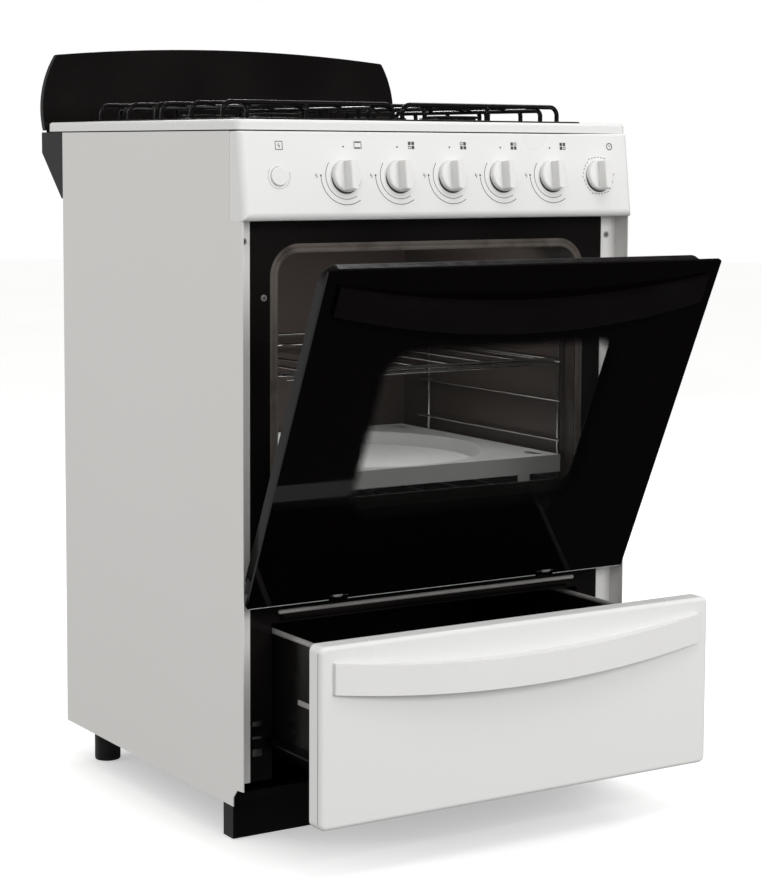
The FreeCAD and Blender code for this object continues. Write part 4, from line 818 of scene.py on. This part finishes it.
# Each disc is a painted shadow round and under its knob.
for knob in KNOBS + ["timer"]:
    place = Vector(turn_joints[f"{knob}_knob"]["pos_m"])
    centre = place - panel_up * KNOB_SHADOW_DROP + panel_out * KNOB_SHADOW_LIFT
    bmesh.ops.create_cone(bm, cap_ends=True, segments=64, radius1=KNOB_SHADOW_FOOT,
                          radius2=KNOB_SHADOW_TOP, depth=KNOB_SHADOW_THICK,
                          matrix=Matrix.Translation(centre) @ panel_axes)
make_piece("knob_shadow_discs", bm, shadow_and_seam_dark, "cabinet", 40.0)

# %% [markdown]
# ## Printed marks on the control panel
#
# The symbols are printed in grey: two arcs under each gas knob, a spark at the arc's
# start, an off dot, and a small square symbol that says which burner it is. Each mark
# is a film a tenth of a millimetre thick, made flat and then laid on the leaning face.
# Arcs are a small rectangle spun about the knob's axis.

# %% Printing tools
FILM = 0.00008
FILM_LIFT = 0.00002              # off the panel, so that the two never lie in one plane
ink = Finish("printed ink", (0.065, 0.065, 0.067), 0.5)
ink.tint(ink.between(ink.noise(900.0, 3.0), 0.5, 0.75), (0.12, 0.12, 0.122))
ink.relief(ink.noise(2000.0), 0.00002, 0.3)
print("film", FILM, "m thick, leaning", round(math.degrees(math.asin(panel_out.z)), 1),
      "degrees")


def panel_matrix(x):
    """Flat drawing axes laid on the control panel, centred on the knobs' height."""
    middle = Vector(turn_joints["oven_knob"]["pos_m"])
    middle.x = x
    return Matrix.Translation(middle + panel_out * FILM_LIFT) @ panel_axes


def bar(bm, x, y, wide, tall, turn=0.0):
    """A printed bar, centred at x and y."""
    matrix = (Matrix.Translation((x, y, FILM / 2)) @ Matrix.Rotation(turn, 4, "Z")
              @ Matrix.Diagonal((wide, tall, FILM, 1)))
    bmesh.ops.create_cube(bm, size=1.0, matrix=matrix)


def arc(bm, radius, start, end, line, centre=(0, 0)):
    """A printed arc, from one clock angle to another, in degrees from +X."""
    made = bmesh.ops.create_grid(bm, x_segments=1, y_segments=1, size=0.5, matrix=(
        Matrix.Translation((radius, 0, FILM / 2)) @ Matrix.Rotation(math.radians(90), 4, "X")
        @ Matrix.Diagonal((line, FILM, 1, 1))))
    spot = Vector((*centre, 0))
    bmesh.ops.transform(bm, matrix=Matrix.Translation(spot) @ Matrix.Rotation(
        math.radians(start), 4, "Z"), verts=made["verts"])
    face = made["verts"][0].link_faces[0]
    full = abs(end - start) >= 360
    bmesh.ops.spin(bm, geom=[face] + list(face.edges) + made["verts"], cent=spot,
                   axis=(0, 0, 1), angle=math.radians(end - start), use_merge=full,
                   steps=max(4, int(abs(end - start) / 5)), use_duplicate=False)


def ring_box(bm, x, y, wide, tall, line):
    """A printed rectangle outline."""
    for sign in (-1, 1):
        bar(bm, x + sign * (wide - line) / 2, y, line, tall)
        bar(bm, x, y + sign * (tall - line) / 2, wide - 2 * line, line)


# %% [markdown]
# The spark is three short strokes. The burner symbol is a block of four squares: the
# hollow one is the burner that the knob controls. The oven's symbol is a wide box with
# a heavy top, the timer's a ring with two hands, and the button's a spark in a box.

# %% Symbols
LINE = 0.0008
GLYPH = 0.0090
SYMBOL_UP = 0.0365               # knobs' axes to the row of symbols


def spark(bm, x, y, size):
    bar(bm, x - size * 0.12, y + size * 0.25, LINE * 0.9, size * 0.5, -0.45)
    bar(bm, x, y, size * 0.42, LINE * 0.9, 0.2)
    bar(bm, x + size * 0.12, y - size * 0.25, LINE * 0.9, size * 0.5, -0.45)


def burner_glyph(bm, x, y, hollow):
    step = GLYPH * 0.27
    size = GLYPH * 0.42
    for column in (-1, 1):
        for row in (-1, 1):
            if (column, row) == hollow:
                ring_box(bm, x + column * step, y + row * step, size, size, LINE)
            else:
                bar(bm, x + column * step, y + row * step, size, size * 1.05)


def glyph_oven(bm, x, y):
    ring_box(bm, x, y, GLYPH * 1.15, GLYPH * 0.95, LINE)
    bar(bm, x, y + GLYPH * 0.36, GLYPH * 0.8, LINE * 1.6)
    bar(bm, x, y - GLYPH * 0.36, GLYPH * 0.8, LINE * 1.6)


print("symbols", round(GLYPH * 1000, 1), "mm wide, lines", LINE * 1000, "mm")


def print_marks(sheet, marks, x):
    """Lays finished marks on the panel and adds them to the sheet of prints."""
    bmesh.ops.transform(marks, matrix=panel_matrix(x), verts=marks.verts)
    scratch = bpy.data.meshes.new("scratch")
    marks.to_mesh(scratch)
    marks.free()
    sheet.from_mesh(scratch)
    bpy.data.meshes.remove(scratch)


# %% [markdown]
# Each knob's marks are drawn flat in a small bmesh of their own, with the origin on
# the knob's axis, and then laid on the panel. The timer's scale is thirty short arcs,
# of which every fifth stands a little further out.

# %% All the marks
HOLLOWS = {"burner_1": (-1, -1), "burner_2": (-1, 1), "burner_3": (1, 1), "burner_4": (1, -1)}
OUTER_ARC = 0.0335
INNER_ARC = 0.0270
SYMBOL_X = 0.019
DIAL = 0.0232
DIAL_STEPS = 30
DIAL_TURN = 360 // DIAL_STEPS
CLOCK_X = 0.020
BUTTON_MARK = (0.002, SYMBOL_UP - 0.001)
BUTTON_ARC = 0.0145

printed = bmesh.new()
for knob in KNOBS:
    marks = bmesh.new()
    arc(marks, OUTER_ARC, -178, -57, LINE)
    arc(marks, INNER_ARC, -216, -60, LINE * 0.9)
    bar(marks, -OUTER_ARC, 0.0008, LINE * 2.6, LINE * 3.2, 0.3)
    spark(marks, -0.0395, 0.0005, 0.0060)
    arc(marks, 0.00055, 0, 360, 0.0011, (-0.001, SYMBOL_UP - 0.002))
    if knob == "oven":
        glyph_oven(marks, SYMBOL_X, SYMBOL_UP)
    else:
        burner_glyph(marks, SYMBOL_X, SYMBOL_UP, HOLLOWS[knob])
    print_marks(printed, marks, turn_joints[f"{knob}_knob"]["pos_m"][0])

marks = bmesh.new()
for step in range(DIAL_STEPS):
    start = step * DIAL_TURN
    arc(marks, DIAL + (0.0012 if step % 5 == 0 else 0), start, start + 7, LINE)
arc(marks, 0.0040, 0, 360, LINE * 1.5, (CLOCK_X, SYMBOL_UP))
bar(marks, CLOCK_X, SYMBOL_UP + 0.0010, LINE, 0.0022)
bar(marks, CLOCK_X + 0.0008, SYMBOL_UP, 0.0018, LINE)
print_marks(printed, marks, turn_joints["timer_knob"]["pos_m"][0])

marks = bmesh.new()
ring_box(marks, *BUTTON_MARK, GLYPH * 1.1, GLYPH * 1.15, LINE)
spark(marks, *BUTTON_MARK, 0.0056)
arc(marks, BUTTON_ARC, -215, 20, LINE * 0.35)
button_low, button_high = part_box("ignition_button")
print_marks(printed, marks, (button_low.x + button_high.x) / 2)
make_piece("panel_print", printed, ink, "cabinet", 30.0)

# %% [markdown]
# ## The floor and the light
#
# The floor is a plain pale sheet. It glows a little, so that it stays as pale as the
# air behind it, but it neither shows in the glass nor throws light on the range. Large
# soft lights stand in front and overhead, and glossy parts don't mirror them. Narrow
# strips at the left, in front, high on the right and at the back do show in glossy
# parts, and draw the bright lines along wires, edges and rolled rims. A small lamp
# inside stands for the light that falls into the oven past the open door.

# %% Studio
floor_paint = Finish("studio floor", (0.93, 0.93, 0.93), 0.7, Emission_Color=(1, 1, 1, 1),
                     Emission_Strength=0.42)
floor_paint.tint(floor_paint.between(floor_paint.noise(1.5, 2.0), 0.4, 0.7),
                 (0.90, 0.90, 0.90))
FLOOR_RADIUS = 14.0
FLOOR_DROP = 0.0006              # below the feet, so that no face lies in its plane
bm = bmesh.new()
bmesh.ops.create_circle(bm, cap_ends=True, segments=96, radius=FLOOR_RADIUS,
                        matrix=Matrix.Translation((0, 0, -FLOOR_DROP)))
floor_mesh = bpy.data.meshes.new("studio_floor")
bm.to_mesh(floor_mesh)
bm.free()
floor_mesh.materials.append(floor_paint.material)
floor = bpy.data.objects.new("studio_floor", floor_mesh)
bpy.context.scene.collection.objects.link(floor)
floor.visible_glossy = False
floor.visible_diffuse = False
print("floor", round(2 * FLOOR_RADIUS, 1), "m across")


# %% Lights
def soft_light(name, place, target, wide, tall, power, colour=(1, 1, 1), mirrored=True):
    """A rectangular light aimed at a point, which glossy things may mirror or not."""
    data = bpy.data.lights.new(name, "AREA")
    data.shape = "RECTANGLE"
    data.size = wide
    data.size_y = tall
    data.energy = power
    data.color = colour
    lamp = bpy.data.objects.new(name, data)
    lamp.location = place
    lamp.rotation_mode = "QUATERNION"
    aim = Vector(target) - Vector(place)
    lamp.rotation_quaternion = aim.to_track_quat("-Z", "Y")
    bpy.context.scene.collection.objects.link(lamp)
    lamp.visible_glossy = mirrored
    lamp.visible_camera = False
    print(name, power, "W")


soft_light("front light", (0.7, -2.9, 1.5), (0, -0.1, 0.76), 1.8, 1.4, 40, mirrored=False)
soft_light("top light", (0.0, -1.2, 2.8), (0, 0.0, 0.8), 1.6, 1.0, 12, mirrored=False)
soft_light("left strip", (-2.6, 0.9, 1.7), (0, 0.0, 0.6), 0.18, 1.5, 9, (1, 0.99, 0.97))
soft_light("front strip", (-0.9, -3.2, 2.3), (0, 0.0, 0.7), 1.2, 0.14, 6)
soft_light("high right strip", (1.5, 0.9, 3.0), (0, -0.1, 0.7), 1.8, 0.30, 9)
soft_light("oven light", (0, 0.06, 0.675), (0.02, 0.24, 0.42), 0.30, 0.08, 1.5, mirrored=False)
soft_light("back strip", (0.6, 2.6, 2.4), (0, 0.2, 0.85), 1.6, 0.16, 12)

# %% [markdown]
# The room itself is the world. It is white where the viewer looks past the range. For
# soft light it is a dome, a little brighter overhead, behind and on the left. For
# mirror rays it is nearly dark, like the black flags that a studio puts round glossy
# things, but for one pale card behind the range at the left.

# %% The room
world = bpy.data.worlds.new("studio")
bpy.context.scene.world = world
world.use_nodes = True
tree = world.node_tree
tree.nodes.clear()


def room(strength, colour=(1, 1, 1)):
    """A background of one strength."""
    made = tree.nodes.new("ShaderNodeBackground")
    made.inputs["Color"].default_value = (*colour, 1)
    made.inputs["Strength"].default_value = strength
    return made


def join(first, second, chooser):
    """The second background where the chooser is one, else the first."""
    made = tree.nodes.new("ShaderNodeMixShader")
    tree.links.new(chooser, made.inputs["Fac"])
    tree.links.new(first, made.inputs[1])
    tree.links.new(second, made.inputs[2])
    return made.outputs["Shader"]


def toward(side):
    """How far a ray points towards a side: one along it, less away from it."""
    made = tree.nodes.new("ShaderNodeVectorMath")
    made.operation = "DOT_PRODUCT"
    made.inputs[1].default_value = side
    tree.links.new(direction, made.inputs[0])
    return made.outputs["Value"]


direction = tree.nodes.new("ShaderNodeTexCoord").outputs["Generated"]
DOME_LEAN = (-0.12, 0.08, 0.20)
DOME_BASE = 0.53
CARD_SIDE = (-0.55, 0.83, 0.0)
CARD_RANGE = (("From Min", 0.75), ("From Max", 1.0), ("To Min", 0.045), ("To Max", 0.50))
dome_strength = tree.nodes.new("ShaderNodeMath")
dome_strength.operation = "ADD"
dome_strength.inputs[1].default_value = DOME_BASE
tree.links.new(toward(DOME_LEAN), dome_strength.inputs[0])
dome = room(1.0, (1, 0.995, 0.985))
tree.links.new(dome_strength.outputs["Value"], dome.inputs["Strength"])
rays = tree.nodes.new("ShaderNodeLightPath").outputs
card = tree.nodes.new("ShaderNodeMapRange")
for socket, value in CARD_RANGE:
    card.inputs[socket].default_value = value
tree.links.new(toward(CARD_SIDE), card.inputs["Value"])
mirror_room = room(1.0)
tree.links.new(card.outputs["Result"], mirror_room.inputs["Strength"])
soft_or_mirror = join(dome.outputs[0], mirror_room.outputs[0], rays["Is Glossy Ray"])
whole = join(soft_or_mirror, room(1.0).outputs[0], rays["Is Camera Ray"])
out = tree.nodes.new("ShaderNodeOutputWorld")
tree.links.new(whole, out.inputs["Surface"])
bpy.context.scene.view_settings.view_transform = "Standard"
print("room", len(tree.nodes), "nodes")
